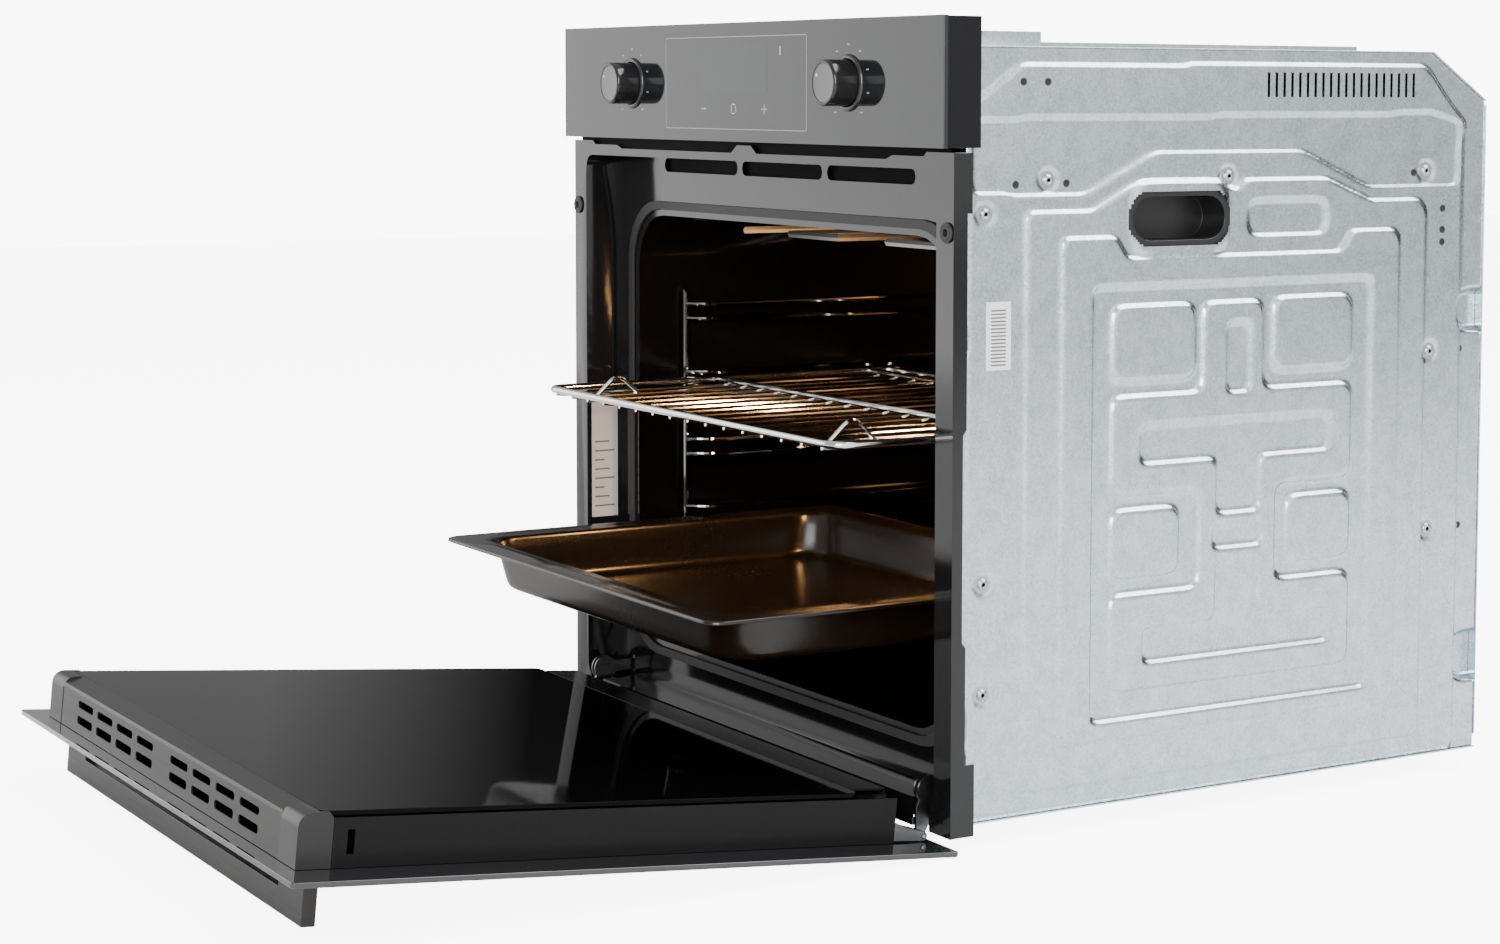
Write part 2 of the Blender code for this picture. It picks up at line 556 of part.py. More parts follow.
def make_heating():
    """Three heating elements and the lamp."""
    feeds = CAVITY_REAR + 22.0
    turns = [(96.0 * math.cos(a), 436.0, CAVITY_MIDDLE + 96.0 * math.sin(a)) for a in (
        math.radians(-84 + 348 * i / 24) for i in range(25))]
    points = [(9.0, feeds, CAVITY_MIDDLE - 96.0), *turns, (-9.0, feeds, CAVITY_MIDDLE - 96.0)]
    node("ring_element", "steel", [wire(points, 3.2)])

    z = 418.0
    points = [(-20.0, CAVITY_REAR - 1.0, z)]
    for i in range(6):
        x = -190.0 + 76.0 * i
        y0, y1 = (110.0, 350.0) if i % 2 == 0 else (350.0, 110.0)
        points += [(x, y0, z), (x, y1, z)]
    points = [(-205.0, 400.0, z)] + points[1:] + [(205.0, 110.0, z), (205.0, 400.0, z)]
    node("grill_element", "steel", [wire(points, 3.2)])

    z = 54.5
    points = []
    for i in range(6):
        x = -180.0 + 72.0 * i
        y0, y1 = (110.0, 380.0) if i % 2 == 0 else (380.0, 110.0)
        points += [(x, y0, z), (x, y1, z)]
    node("base_element", "steel", [wire(points, 3.2)])

    x, z = -185.0, 390.0
    holder = [rod("y", (x, 470.0, z), 18.0, 26.0, 16), rod("y", (x, 488.0, z), 10.0, 12.0, 12)]
    node("lamp_holder", "steel", holder, [rod("y", (x, 462.0, z), 13.0, 24.0, 16)], at=(x, 470.0, z))
    bulb = [rod("y", (x, 458.0, z), 9.0, 20.0, 12, tip=9.0), rod("y", (x, 469.0, z), 5.0, 8.0, 12)]
    node("lamp_bulb", "bulb", bulb, at=(x, 458.0, z))
    dome = [rod("y", (x, 446.0, z), 27.0, 17.0, 20, tip=24.0)]
    node("lamp_glass", "black_glass", dome, [rod("y", (x, 449.0, z), 22.0, 20.0, 20)], at=(x, 446.0, z))


def make_fans():
    """The hot-air fan and the cooling blower, each with its wheel."""
    hub = [
        rod("y", (0.0, 430.0, CAVITY_MIDDLE), 12.0, 14.0, 16),
        rod("y", (0.0, 440.5, CAVITY_MIDDLE), 72.0, 1.6, 24),
        rod("y", (0.0, 462.0, CAVITY_MIDDLE), 4.0, 56.0, 12),
    ]
    for i in range(10):
        blade = block((18.0, 427.0, -0.7), (70.0, 440.4, 0.7))
        turned = Matrix.Translation((0.0, 0.0, CAVITY_MIDDLE)) @ Matrix.Rotation(math.radians(36 * i), 4, "Y")
        blade.transform(turned)
        hub.append(blade)
    node("fan_wheel", "steel", hub, at=(0.0, 436.0, CAVITY_MIDDLE))
    motor = [
        rod("y", (0.0, 494.0, CAVITY_MIDDLE), 36.0, 36.0, 20),
        block((-60.0, 477.0, CAVITY_MIDDLE - 10.0), (60.0, 478.5, CAVITY_MIDDLE + 10.0)),
    ]
    node("fan_motor", "steel", motor, [rod("y", (0.0, 480.0, CAVITY_MIDDLE), 4.4, 26.0, 12)])

    y, z = 215.0, 496.0
    shell = block((-110.0, y - 34.0, z - 34.0), (110.0, y + 34.0, z + 34.0))
    inside = block((-108.0, y - 40.0, z - 32.0), (108.0, y + 32.0, z + 32.0))
    intake = block((-90.0, y - 18.0, z + 30.0), (90.0, y + 18.0, z + 36.0))
    node("cooling_blower", "galvanised", [shell], [inside, intake])
    wheel = [rod("x", (x, y, z), 24.0, 2.0, 16) for x in (-90.0, 0.0, 90.0)]
    wheel.append(rod("x", (0.0, y, z), 3.0, 212.0, 8))
    for i in range(12):
        blade = block((-90.0, 18.0, -0.6), (90.0, 23.0, 0.6))
        turned = Matrix.Translation((0.0, y, z)) @ Matrix.Rotation(math.radians(30 * i), 4, "X")
        blade.transform(turned)
        wheel.append(blade)
    node("cooling_wheel", "steel", wheel, at=(0.0, y, z))


def make_hinges(door):
    """The arm hooks into its receiver and carries the door's pin; the body is the door's half."""
    arm_top, catch_y, catch_z = 43.0, 6.5, 37.5
    for label, side in SIDES:
        x = side * HINGE_X
        box = block((x - 7.0, RECESS_DEEP + 3.0, 24.0), (x + 7.0, 79.0, 49.0))
        slot = block((x - 2.6, RECESS_DEEP, 31.0), (x + 2.6, 72.0, 46.0))
        node("hinge_receiver_" + label, "steel", [box], [slot])

        profile = arc((PIVOT_Y, PIVOT_Z), 3.4, 180, 360, 8)
        profile += [(8.0, 14.0), (8.0, 33.0), (66.0, 33.0), (66.0, arm_top), (2.0, arm_top), (-1.0, 39.0)]
        profile += [(-1.0, 31.0), (PIVOT_Y - 3.4, 25.0)]
        eye = hole((PIVOT_Y, PIVOT_Z), 1.65, 12)
        node("hinge_arm_" + label, "steel", [plate("x", x - 1.5, x + 1.5, profile, [eye])])

        cheek = hole((catch_y, catch_z), 10.5, 20)
        cheeks = [plate("x", a, b, cheek) for a, b in ((x - 3.4, x - 1.8), (x + 1.8, x + 3.4))]
        lip = arc((catch_y, catch_z), 10.4, 60, 90, 4) + arc((catch_y, catch_z), 8.3, 90, 60, 4)
        bridge = plate("x", x - 3.2, x + 3.2, lip)
        node("hinge_catch_" + label, "chrome", [*cheeks, bridge], at=(x, catch_y, catch_z))

        ear = arc((PIVOT_Y, PIVOT_Z), 3.4, 180, 360, 8)
        ear += [(6.0, 20.0), (10.0, 30.0), (14.0, 34.0), (22.0, 62.0), (22.0, 150.0)]
        ear += [(-3.2, 150.0), (-3.2, 60.0)]
        ears = [plate("x", a, b, ear, [eye]) for a, b in ((x - 5.8, x - 3.9), (x + 3.9, x + 5.8))]
        spring_box = block((x - 4.2, -2.6, 62.0), (x + 4.2, 21.0, 149.0))
        node("hinge_body_" + label, "steel", [*ears, spring_box], at=(x, PIVOT_Y, PIVOT_Z), parent=door)
        pin = rod("x", (x, PIVOT_Y, PIVOT_Z), 1.3, 12.6, 12)
        node("hinge_pin_" + label, "steel", [pin], at=(x, PIVOT_Y, PIVOT_Z), parent=door)


def make_door():
    """The door with three panes, trims, rails and handle, built shut and turned open."""
    door = bpy.data.objects.new("door_axis", None)
    door["built_at"] = (0.0, PIVOT_Y, PIVOT_Z)
    door.location = Vector((0.0, PIVOT_Y, PIVOT_Z)) * MM
    door.rotation_euler = (OPEN_ANGLE, 0.0, 0.0)
    door.parent = oven
    parts.objects.link(door)

    axis = (0.0, PIVOT_Y, PIVOT_Z)

    def door_node(name, slot, shapes, cuts=()):
        """A node of the door, placed from the door's axis."""
        node(name, slot, shapes, cuts, at=axis, parent=door)

    front = rounded((-FRONT_HALF, FRONT_BOTTOM), (FRONT_HALF, DOOR_TOP), 3.0, 3)
    door_node("door_outer_glass", "black_glass", [plate("y", GLASS_FRONT, GLASS_BACK, front)])
    middle = rounded((-248.0, 64.0), (248.0, 455.0), 4.0, 2)
    door_node("door_middle_glass", "door_glass", [plate("y", 12.0, 16.0, middle)])
    inner = rounded((-262.0, 61.0), (262.0, TRIM_LOW - GAP), 6.0, 3)
    door_node("door_inner_glass", "door_glass", [plate("y", 28.0, DOOR_BACK, inner)])

    seat = GLASS_BACK + GAP
    profile = [(seat, TRIM_TOP - 1.2), (seat, TRIM_TOP), (25.0, TRIM_TOP), (27.3, TRIM_TOP - 0.7)]
    profile += [(DOOR_BACK, TRIM_LOW), (DOOR_BACK - 1.2, TRIM_LOW - 0.2)]
    profile += [(26.2, TRIM_TOP - 1.6), (24.6, TRIM_TOP - 1.2)]
    windows = []
    for row in ((2.5, 8.7), (14.8, 20.3)):
        for first in (-196.0, 19.0):
            for i in range(4):
                x = first + 46.9 * i
                window = rounded((x, row[0]), (x + 36.5, row[1]), 2.4, 2)
                windows.append(plate("z", TRIM_TOP - 4.0, TRIM_TOP + 2.0, window))
    door_node("door_top_trim", "satin_metal", [plate("x", -TRIM_HALF, TRIM_HALF, profile)], windows)

    for label, side in SIDES:
        outline = [(seat, 456.0), (27.6, 456.0), (DOOR_BACK, 459.0)]
        outline += arc((DOOR_BACK - 9.0, TRIM_TOP + 0.3 - 9.0), 9.0, 0, 90, 5) + [(seat, TRIM_TOP + 0.3)]
        cap = plate("x", *span(side, TRIM_HALF + GAP, DOOR_HALF), outline)
        pane = side_block(side, 230.0, 262.4, (27.7, 450.0), (33.0, TRIM_LOW + 0.2))
        x0, x1 = span(side, TRIM_HALF - 2.0, DOOR_HALF - 2.0)
        hollow = block((x0, seat - 1.0, 450.0), (x1, 25.6, TRIM_TOP - 2.0))
        door_node("door_cap_" + label, "black_plastic", [cap], [pane, hollow])

        outer_wall = side_block(side, 264.5, DOOR_HALF, (seat, DOOR_LOW), (27.7, 455.7))
        inner_wall = side_block(side, 250.0, 251.5, (seat, DOOR_LOW), (27.7, 455.7))
        web = side_block(side, 250.2, 265.8, (seat, DOOR_LOW), (seat + 1.2, 455.7))
        slot = side_block(side, 262.0, 268.0, (4.0, 441.0), (20.0, 446.0))
        ear_room = block((side * HINGE_X - 6.3, seat - 1.0, 20.0), (side * HINGE_X + 6.3, 30.0, 62.0))
        door_node("door_side_rail_" + label, "dark_rail", [outer_wall, inner_wall, web], [slot, ear_room])

    rail = [
        block((-249.0, seat, DOOR_LOW), (249.0, DOOR_BACK, DOOR_LOW + 1.5)),
        block((-249.0, DOOR_BACK - 1.5, DOOR_LOW), (249.0, DOOR_BACK, 60.5)),
    ]
    door_node("door_bottom_rail", "dark_rail", rail)

    root, grip = GLASS_FRONT - GAP, -45.5
    bar = block((-252.0, grip, 457.3), (252.0, root, 467.1))
    slot = block((-207.5, -28.5, 450.0), (207.5, root + 1.0, 470.0))
    door_node("door_handle", "satin_metal", [bar], [slot])
    return door


def make_rack():
    """A wire rack: a stout rim, long wires welded under it, cross wires and two stop hoops."""
    corner = 16.0
    rim = rounded((-RACK_HALF, 0.0), (RACK_HALF, RACK_DEEP), corner, 3)
    shapes = [wire([(x, y, 0.0) for x, y in rim], 3.0, closed=True)]
    pitch, count = 28.8, 16
    for i in range(count):
        x = pitch * (i - (count - 1) / 2)
        shapes.append(wire([(x, 0.0, -3.6), (x, RACK_DEEP, -3.6)], 1.6, resolution=0))
    for y in (165.0, 318.0):
        shapes.append(wire([(-RACK_HALF, y, -0.2), (RACK_HALF, y, -0.2)], 2.4))
    for _, side in SIDES:
        x = side * 6.5 * pitch
        shapes.append(wire([(x, 24.0, -3.4), (x, 38.0, 12.0), (x, 46.0, 12.0), (x, 61.0, -3.4)], 1.7))
    node("wire_rack", "chrome", shapes).location = Vector((0.0, RACK_FRONT, RACK_Z)) * MM


def make_tray():
    """A pressed tray: flat rim with a turned-down edge, sloping walls and a round-cornered floor."""
    half, deep = TRAY_HALF, TRAY_DEEP
    levels = [
        (0.0, -3.0, 14.0),
        (0.0, 0.0, 14.0),
        (24.0, 0.0, 22.0),
        (27.0, -3.0, 24.0),
        (33.0, -33.0, 30.0),
        (40.0, -38.0, 28.0),
    ]
    loops = []
    for inset, height, radius in levels:
        outline = rounded((-half + inset, inset), (half - inset, deep - inset), radius, 4)
        loops.append([(x, y, height) for x, y in outline])
    tray = node("baking_tray", "enamel", [loft(loops, 1.0)])
    tray.location = Vector((0.0, TRAY_FRONT, TRAY_Z)) * MM


def main():
    """Builds every sub-part."""
    make_front_frame()
    make_control_panel()
    make_knobs()
    make_casing()
    make_cavity()
    make_heating()
    make_fans()
    door = make_door()
    make_hinges(door)
    make_rack()
    make_tray()


main()
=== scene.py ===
# %% [markdown]
# # A built-in wall oven
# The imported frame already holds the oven's solid pieces, body by body. This lesson puts a
# finish on each of them, and makes again, as smooth surfaces, the pieces whose look depends
# on fine shape: the pressed side sheets, the wires, the tray and the knobs. All working sizes
# are in millimetres, with y = 0 on the enamel front frame and z = 0 on the shelf.

import json
import math

import bmesh
import bpy
import numpy as np
from mathutils import Matrix, Vector

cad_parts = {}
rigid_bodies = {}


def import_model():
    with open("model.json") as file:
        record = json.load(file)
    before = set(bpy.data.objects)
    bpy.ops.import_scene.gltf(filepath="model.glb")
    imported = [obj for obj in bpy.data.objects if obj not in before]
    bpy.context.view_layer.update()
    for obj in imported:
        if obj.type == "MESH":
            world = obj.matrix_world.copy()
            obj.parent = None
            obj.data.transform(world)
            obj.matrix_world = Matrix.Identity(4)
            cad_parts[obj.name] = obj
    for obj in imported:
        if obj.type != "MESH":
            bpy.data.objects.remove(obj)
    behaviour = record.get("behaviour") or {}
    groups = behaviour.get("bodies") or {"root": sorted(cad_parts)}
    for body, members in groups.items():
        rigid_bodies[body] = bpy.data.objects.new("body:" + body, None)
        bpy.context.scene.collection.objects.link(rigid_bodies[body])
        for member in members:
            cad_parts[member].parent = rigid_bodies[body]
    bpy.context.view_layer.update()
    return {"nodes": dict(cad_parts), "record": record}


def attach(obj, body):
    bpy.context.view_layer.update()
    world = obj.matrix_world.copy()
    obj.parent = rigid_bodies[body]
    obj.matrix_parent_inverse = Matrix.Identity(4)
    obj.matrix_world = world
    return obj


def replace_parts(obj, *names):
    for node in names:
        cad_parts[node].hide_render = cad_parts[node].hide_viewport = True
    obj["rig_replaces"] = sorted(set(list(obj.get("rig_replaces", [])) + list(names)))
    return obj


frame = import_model()
MIDDLE_Y = 265.0
nodes = frame["nodes"]
body_of_node = {node: body for body, held in frame["record"]["behaviour"]["bodies"].items() for node in held}
slot_of_node = {row["node"]: row["material_slot"] for row in frame["record"]["subparts"]}

# %% [markdown]
# ## Shader groups
# Several finishes share an effect: a fine unevenness in the gloss, the crystals of hot-dip
# zinc, the fine scratches of brushing. Each effect is one node group that reads Object
# coordinates and gives out a colour, a roughness or a height, so every finish can place it
# with its own numbers.


# %% A helper that builds a node group
def shader_group(name, inputs, outputs):
    """An empty group with named float inputs and outputs; returns it with its two end nodes."""
    group = bpy.data.node_groups.new(name, "ShaderNodeTree")
    for label, value in inputs.items():
        kind = "NodeSocketColor" if isinstance(value, tuple) else "NodeSocketFloat"
        group.interface.new_socket(label, in_out="INPUT", socket_type=kind).default_value = value
    for label, kind in outputs.items():
        group.interface.new_socket(label, in_out="OUTPUT", socket_type="NodeSocket" + kind)
    start = group.nodes.new("NodeGroupInput")
    end = group.nodes.new("NodeGroupOutput")
    return group, start, end


def joined(tree, node_type, links=(), **settings):
    """A new node: settings name its properties or inputs, and links feed its sockets."""
    node = tree.nodes.new(node_type)
    for label, value in settings.items():
        if hasattr(node, label):
            setattr(node, label, value)
        else:
            node.inputs[label].default_value = value
    for socket, source in links:
        tree.links.new(source, node.inputs[socket])
    return node


def noise(tree, scale, detail=3.0, links=()):
    """Fractal noise on Object coordinates, with features about 1 / scale metres across."""
    where = joined(tree, "ShaderNodeTexCoord")
    found = joined(tree, "ShaderNodeTexNoise", [("Vector", where.outputs["Object"]), *links])
    found.inputs["Scale"].default_value = scale
    found.inputs["Detail"].default_value = detail
    return found


print("group helpers ready")

# %% [markdown]
# ## Uneven gloss
# No real surface has one roughness. Handling leaves broad, faint patches on glass, enamel and
# plastic, and dust sits between them. Two noises, one broad and one fine, push the roughness
# up and down around the value that the finish gives.

# %% The gloss group
gloss_group, start, end = shader_group("uneven_gloss", {"Roughness": 0.2, "Amount": 0.3, "Bump": 0.02},
                                       {"Roughness": "Float", "Height": "Float"})
broad = noise(gloss_group, 9.0)
fine = noise(gloss_group, 420.0, 2.0)
mixed = joined(gloss_group, "ShaderNodeMath", [(0, broad.outputs["Fac"]), (1, fine.outputs["Fac"])],
               operation="MULTIPLY")
around = joined(gloss_group, "ShaderNodeMath", [(0, mixed.outputs[0])], operation="SUBTRACT")
around.inputs[1].default_value = 0.22
swing = joined(gloss_group, "ShaderNodeMath", [(0, around.outputs[0]), (1, start.outputs["Amount"])],
               operation="MULTIPLY")
total = joined(gloss_group, "ShaderNodeMath", [(0, start.outputs["Roughness"]), (1, swing.outputs[0])],
               operation="ADD", use_clamp=True)
gloss_group.links.new(total.outputs[0], end.inputs["Roughness"])
height = joined(gloss_group, "ShaderNodeMath", [(0, fine.outputs["Fac"]), (1, start.outputs["Bump"])],
                operation="MULTIPLY")
gloss_group.links.new(height.outputs[0], end.inputs["Height"])
print(gloss_group.name, "made")

# %% [markdown]
# ## Zinc spangle
# Sheet that is dipped in zinc freezes in small crystals, each with its own brightness. A
# Voronoi texture gives each crystal a cell, its random colour sets the brightness and the
# roughness, and a fine noise adds the frosting between the crystals.

# %% The zinc group
zinc_group, start, end = shader_group(
    "zinc_spangle", {"Dark": (0.48, 0.545, 0.57, 1.0), "Light": (0.65, 0.725, 0.755, 1.0), "Roughness": 0.2},
    {"Color": "Color", "Roughness": "Float", "Height": "Float"})
where = joined(zinc_group, "ShaderNodeTexCoord")
crystals = joined(zinc_group, "ShaderNodeTexVoronoi", [("Vector", where.outputs["Object"])])
crystals.inputs["Scale"].default_value = 620.0
frost = noise(zinc_group, 900.0, 4.0)
cloud = noise(zinc_group, 60.0, 3.0)
split = joined(zinc_group, "ShaderNodeSeparateColor", [("Color", crystals.outputs["Color"])])
blend = joined(zinc_group, "ShaderNodeMath", [(0, split.outputs["Red"]), (1, frost.outputs["Fac"])],
               operation="MULTIPLY")
lift = joined(zinc_group, "ShaderNodeMath", [(0, blend.outputs[0]), (1, cloud.outputs["Fac"])],
              operation="ADD")
tone = joined(zinc_group, "ShaderNodeMapRange", [("Value", lift.outputs[0])])
tone.inputs["From Min"].default_value = 0.42
tone.inputs["From Max"].default_value = 1.0
paint = joined(zinc_group, "ShaderNodeMix", [("Factor", tone.outputs[0])], data_type="RGBA")
zinc_group.links.new(start.outputs["Dark"], paint.inputs[6])
zinc_group.links.new(start.outputs["Light"], paint.inputs[7])
zinc_group.links.new(paint.outputs[2], end.inputs["Color"])
rough = joined(zinc_group, "ShaderNodeMath", [(0, split.outputs["Green"])], operation="MULTIPLY_ADD")
rough.inputs[1].default_value = 0.08
zinc_group.links.new(start.outputs["Roughness"], rough.inputs[2])
zinc_group.links.new(rough.outputs[0], end.inputs["Roughness"])
zinc_group.links.new(blend.outputs[0], end.inputs["Height"])
print(zinc_group.name, "made")

# %% [markdown]
# ## Brushed grain
# Brushing leaves long fine scratches along X on the handle and the trim. A noise stretched by a
# Mapping node stays long in X and very short across it.

# %% The brushed group
brush_group, start, end = shader_group("brushed_grain", {"Roughness": 0.3, "Amount": 0.2},
                                       {"Roughness": "Float", "Height": "Float"})
where = joined(brush_group, "ShaderNodeTexCoord")
stretch = joined(brush_group, "ShaderNodeMapping", [("Vector", where.outputs["Object"])])
stretch.inputs["Scale"].default_value = (6.0, 2200.0, 2200.0)
scratch = joined(brush_group, "ShaderNodeTexNoise", [("Vector", stretch.outputs[0])])
scratch.inputs["Scale"].default_value = 1.0
scratch.inputs["Detail"].default_value = 4.0
swing = joined(brush_group, "ShaderNodeMath", [(0, scratch.outputs["Fac"]), (1, start.outputs["Amount"])],
               operation="MULTIPLY")
total = joined(brush_group, "ShaderNodeMath", [(0, swing.outputs[0]), (1, start.outputs["Roughness"])],
               operation="ADD", use_clamp=True)
brush_group.links.new(total.outputs[0], end.inputs["Roughness"])
brush_group.links.new(scratch.outputs["Fac"], end.inputs["Height"])
print(brush_group.name, "made")

# %% [markdown]
# ## Finishes
# A finish is a Principled material with its plain numbers on the shader and one of the groups
# above on the sockets that vary. The record's slots name which finish each piece takes.


# %% A helper that makes a finish
def finish(name, colour, metallic=0.0, roughness=0.3, group=gloss_group, bump=0.1, distance=0.00005,
           ins=None, **plain):
    """A material whose group drives Roughness, Normal and, for zinc, Base Color."""
    material = bpy.data.materials.new(name)
    material.use_nodes = True
    tree = material.node_tree
    shader = tree.nodes["Principled BSDF"]
    shader.inputs["Base Color"].default_value = (*colour, 1.0)
    shader.inputs["Metallic"].default_value = metallic
    shader.inputs["Roughness"].default_value = roughness
    for label, value in plain.items():
        shader.inputs[label.replace("_", " ")].default_value = value
    if group is not None:
        effect = joined(tree, "ShaderNodeGroup", node_tree=group)
        effect.inputs["Roughness"].default_value = roughness
        for label, value in (ins or {}).items():
            effect.inputs[label].default_value = value
        tree.links.new(effect.outputs["Roughness"], shader.inputs["Roughness"])
        if "Color" in effect.outputs:
            tree.links.new(effect.outputs["Color"], shader.inputs["Base Color"])
        raised = joined(tree, "ShaderNodeBump", [("Height", effect.outputs["Height"])])
        raised.inputs["Strength"].default_value = bump
        raised.inputs["Distance"].default_value = distance
        tree.links.new(raised.outputs["Normal"], shader.inputs["Normal"])
    return material


finishes = {
    "galvanised": finish("zinc_sheet", (0.6, 0.66, 0.7), 1.0, 0.2, zinc_group, 0.12),
    "enamel": finish("black_enamel", (0.006, 0.006, 0.0065), 0.0, 0.09, ins={"Amount": 0.12}),
    "black_glass": finish("black_glass", (0.016, 0.016, 0.018), 0.0, 0.04, ins={"Amount": 0.06}, bump=0.02,
                          Coat_Weight=1.0, Coat_Roughness=0.02),
    "door_glass": finish("door_glass", (0.002, 0.002, 0.0022), 0.0, 0.03, ins={"Amount": 0.06}, bump=0.02,
                         IOR=1.14),
    "black_plastic": finish("black_plastic", (0.008, 0.008, 0.0085), 0.0, 0.34, ins={"Amount": 0.3},
                            bump=0.35),
    "satin_metal": finish("satin_trim", (0.034, 0.033, 0.032), 0.6, 0.26, brush_group, 0.12),
    "chrome": finish("chrome_wire", (0.8, 0.79, 0.77), 1.0, 0.12, ins={"Amount": 0.16}),
    "steel": finish("plain_steel", (0.5, 0.5, 0.51), 1.0, 0.32, ins={"Amount": 0.35}, bump=0.2),
    "dark_rail": finish("dark_rail", (0.005, 0.005, 0.0055), 0.0, 0.2, ins={"Amount": 0.2}, bump=0.03,
                        Specular_IOR_Level=0.15),
    "seal": finish("seal_rubber", (0.02, 0.02, 0.02), 0.0, 0.62, ins={"Amount": 0.3}, bump=0.3),
    "wool": finish("mineral_wool", (0.72, 0.68, 0.56), 0.0, 0.95, ins={"Amount": 0.1, "Bump": 1.0},
                   bump=1.0, distance=0.002),
    "bulb": finish("lamp_bulb", (1.0, 0.72, 0.36), 0.0, 0.2, None, Emission_Color=(1.0, 0.62, 0.26, 1.0),
                   Emission_Strength=6.0),
}
# Near-black with almost no gloss: painted shade, for the strips behind the frame's gaps and the discs in the
# screw sockets.
painted_shade_black = finish("painted_shade_black", (0.002, 0.002, 0.002), 0.0, 0.6, ins={"Amount": 0.2},
                   Specular_IOR_Level=0.05)
print(len(finishes), "finishes")

# %% [markdown]
# ## Surfaces from formulas
# Every new shape is a grid of points worked out at once with numpy. A surface is a function of
# two parameters; a tube or a turned piece is a profile carried along a path. One helper turns
# such a grid into a mesh, closing it where its first and last rows meet.


# %% Grid to mesh
def world(points):
    """Working millimetres to metres in the row frame: y counts from the middle of the base."""
    points = np.asarray(points, float)
    return (points - (0.0, MIDDLE_Y, 0.0)) * 0.001


def grid_faces(rows, columns, wrap_rows=False, wrap_columns=False, start=0):
    """Index quads (i,j), (i+1,j), (i+1,j+1), (i,j+1) of a grid, as one array."""
    i = np.arange(rows if wrap_rows else rows - 1)[:, None]
    j = np.arange(columns if wrap_columns else columns - 1)[None, :]
    i2, j2 = (i + 1) % rows, (j + 1) % columns
    quads = [i * columns + j, i2 * columns + j, i2 * columns + j2, i * columns + j2]
    return start + np.stack(np.broadcast_arrays(*quads), -1).reshape(-1, 4)


def piece(name, points, faces, body, slot, material=None, smooth=35.0, stands_for=(), tidy=True):
    """A finished piece from point and face arrays: normals out, edges sharp past an angle."""
    mesh = bpy.data.meshes.new(name)
    mesh.from_pydata(world(points).tolist(), [], [list(map(int, face)) for face in faces])
    if tidy:
        work = bmesh.new()
        work.from_mesh(mesh)
        bmesh.ops.remove_doubles(work, verts=work.verts, dist=1e-6)
        bmesh.ops.recalc_face_normals(work, faces=work.faces)
        work.to_mesh(mesh)
        work.free()
    mesh.shade_smooth()
    mesh.set_sharp_from_angle(angle=math.radians(smooth))
    mesh.materials.append(material or finishes[slot])
    made = bpy.data.objects.new(name, mesh)
    bpy.context.scene.collection.objects.link(made)
    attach(made, body)
    if stands_for:
        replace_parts(made, *stands_for)
    return made


def gather(shapes):
    """Several (points, faces) pairs as one pair."""
    points, faces, count = [], [], 0
    for some_points, some_faces in shapes:
        points.append(np.asarray(some_points, float).reshape(-1, 3))
        faces += [tuple(np.asarray(face) + count) for face in some_faces]
        count += len(points[-1])
    return np.concatenate(points), faces


print("surface helpers ready")


# %% Tubes and turned shapes
def tube(path, radius, sides=12, closed=False):
    """Circles of the radius square to the path: centre + r (cos t u + sin t v) at each point."""
    path = np.asarray(path, float)
    if closed:
        along = np.roll(path, -1, 0) - np.roll(path, 1, 0)
    else:
        along = np.gradient(path, axis=0)
    along /= np.linalg.norm(along, axis=1, keepdims=True)
    spread = np.abs(along).max(axis=0)
    up = np.eye(3)[np.argmin(spread)]
    side = np.cross(along, up)
    side /= np.linalg.norm(side, axis=1, keepdims=True)
    top = np.cross(side, along)
    turn = np.linspace(0.0, 2 * np.pi, sides, endpoint=False)
    circles = np.cos(turn)[:, None] * side[:, None] + np.sin(turn)[:, None] * top[:, None]
    rings = path[:, None] + radius * circles
    faces = [tuple(quad) for quad in grid_faces(len(path), sides, wrap_rows=closed, wrap_columns=True)]
    if not closed:
        faces.append(tuple(range(sides)))
        faces.append(tuple(range((len(path) - 1) * sides, len(path) * sides)))
    return rings.reshape(-1, 3), faces


def eased(corners, radius, steps=5, closed=False):
    """The path through the corners with each one rounded by a quadratic arc."""
    corners = np.asarray(corners, float)
    before, after = np.roll(corners, 1, 0) - corners, np.roll(corners, -1, 0) - corners
    reach_in, reach_out = np.linalg.norm(before, axis=1), np.linalg.norm(after, axis=1)
    cut_in = np.minimum(radius, reach_in * 0.48) / np.maximum(reach_in, 1e-9)
    cut_out = np.minimum(radius, reach_out * 0.48) / np.maximum(reach_out, 1e-9)
    enter, leave = corners + before * cut_in[:, None], corners + after * cut_out[:, None]
    t = np.linspace(0.0, 1.0, steps)[None, :, None]
    arcs = (1 - t) ** 2 * enter[:, None] + 2 * t * (1 - t) * corners[:, None] + t**2 * leave[:, None]
    if closed:
        return arcs.reshape(-1, 3)
    return np.concatenate([corners[:1], arcs[1:-1].reshape(-1, 3), corners[-1:]])


def turned(profile, centre, axis="y", sides=40):
    """A profile of (radius, along) pairs spun round an axis through the centre."""
    profile = np.asarray(profile, float)
    turn = np.linspace(0.0, 2 * np.pi, sides, endpoint=False)
    across, up = profile[:, :1] * np.cos(turn), profile[:, :1] * np.sin(turn)
    along = np.broadcast_to(profile[:, 1:], across.shape)
    order = {"x": (along, across, up), "y": (across, along, up)}[axis]
    points = np.stack(order, -1) + np.asarray(centre, float)
    faces = [tuple(quad) for quad in grid_faces(len(profile), sides, wrap_columns=True)]
    return points.reshape(-1, 3), faces


print("tubes and turned shapes ready")

# %% [markdown]
# ## Softened edges
# Folded sheet, moulded plastic and ground glass all have a small round on each edge, which
# is what catches the light. Most pieces keep the shape of their solid, so a copy of it is
# welded, its flat areas are made whole again, and a narrow Bevel rounds its edges.


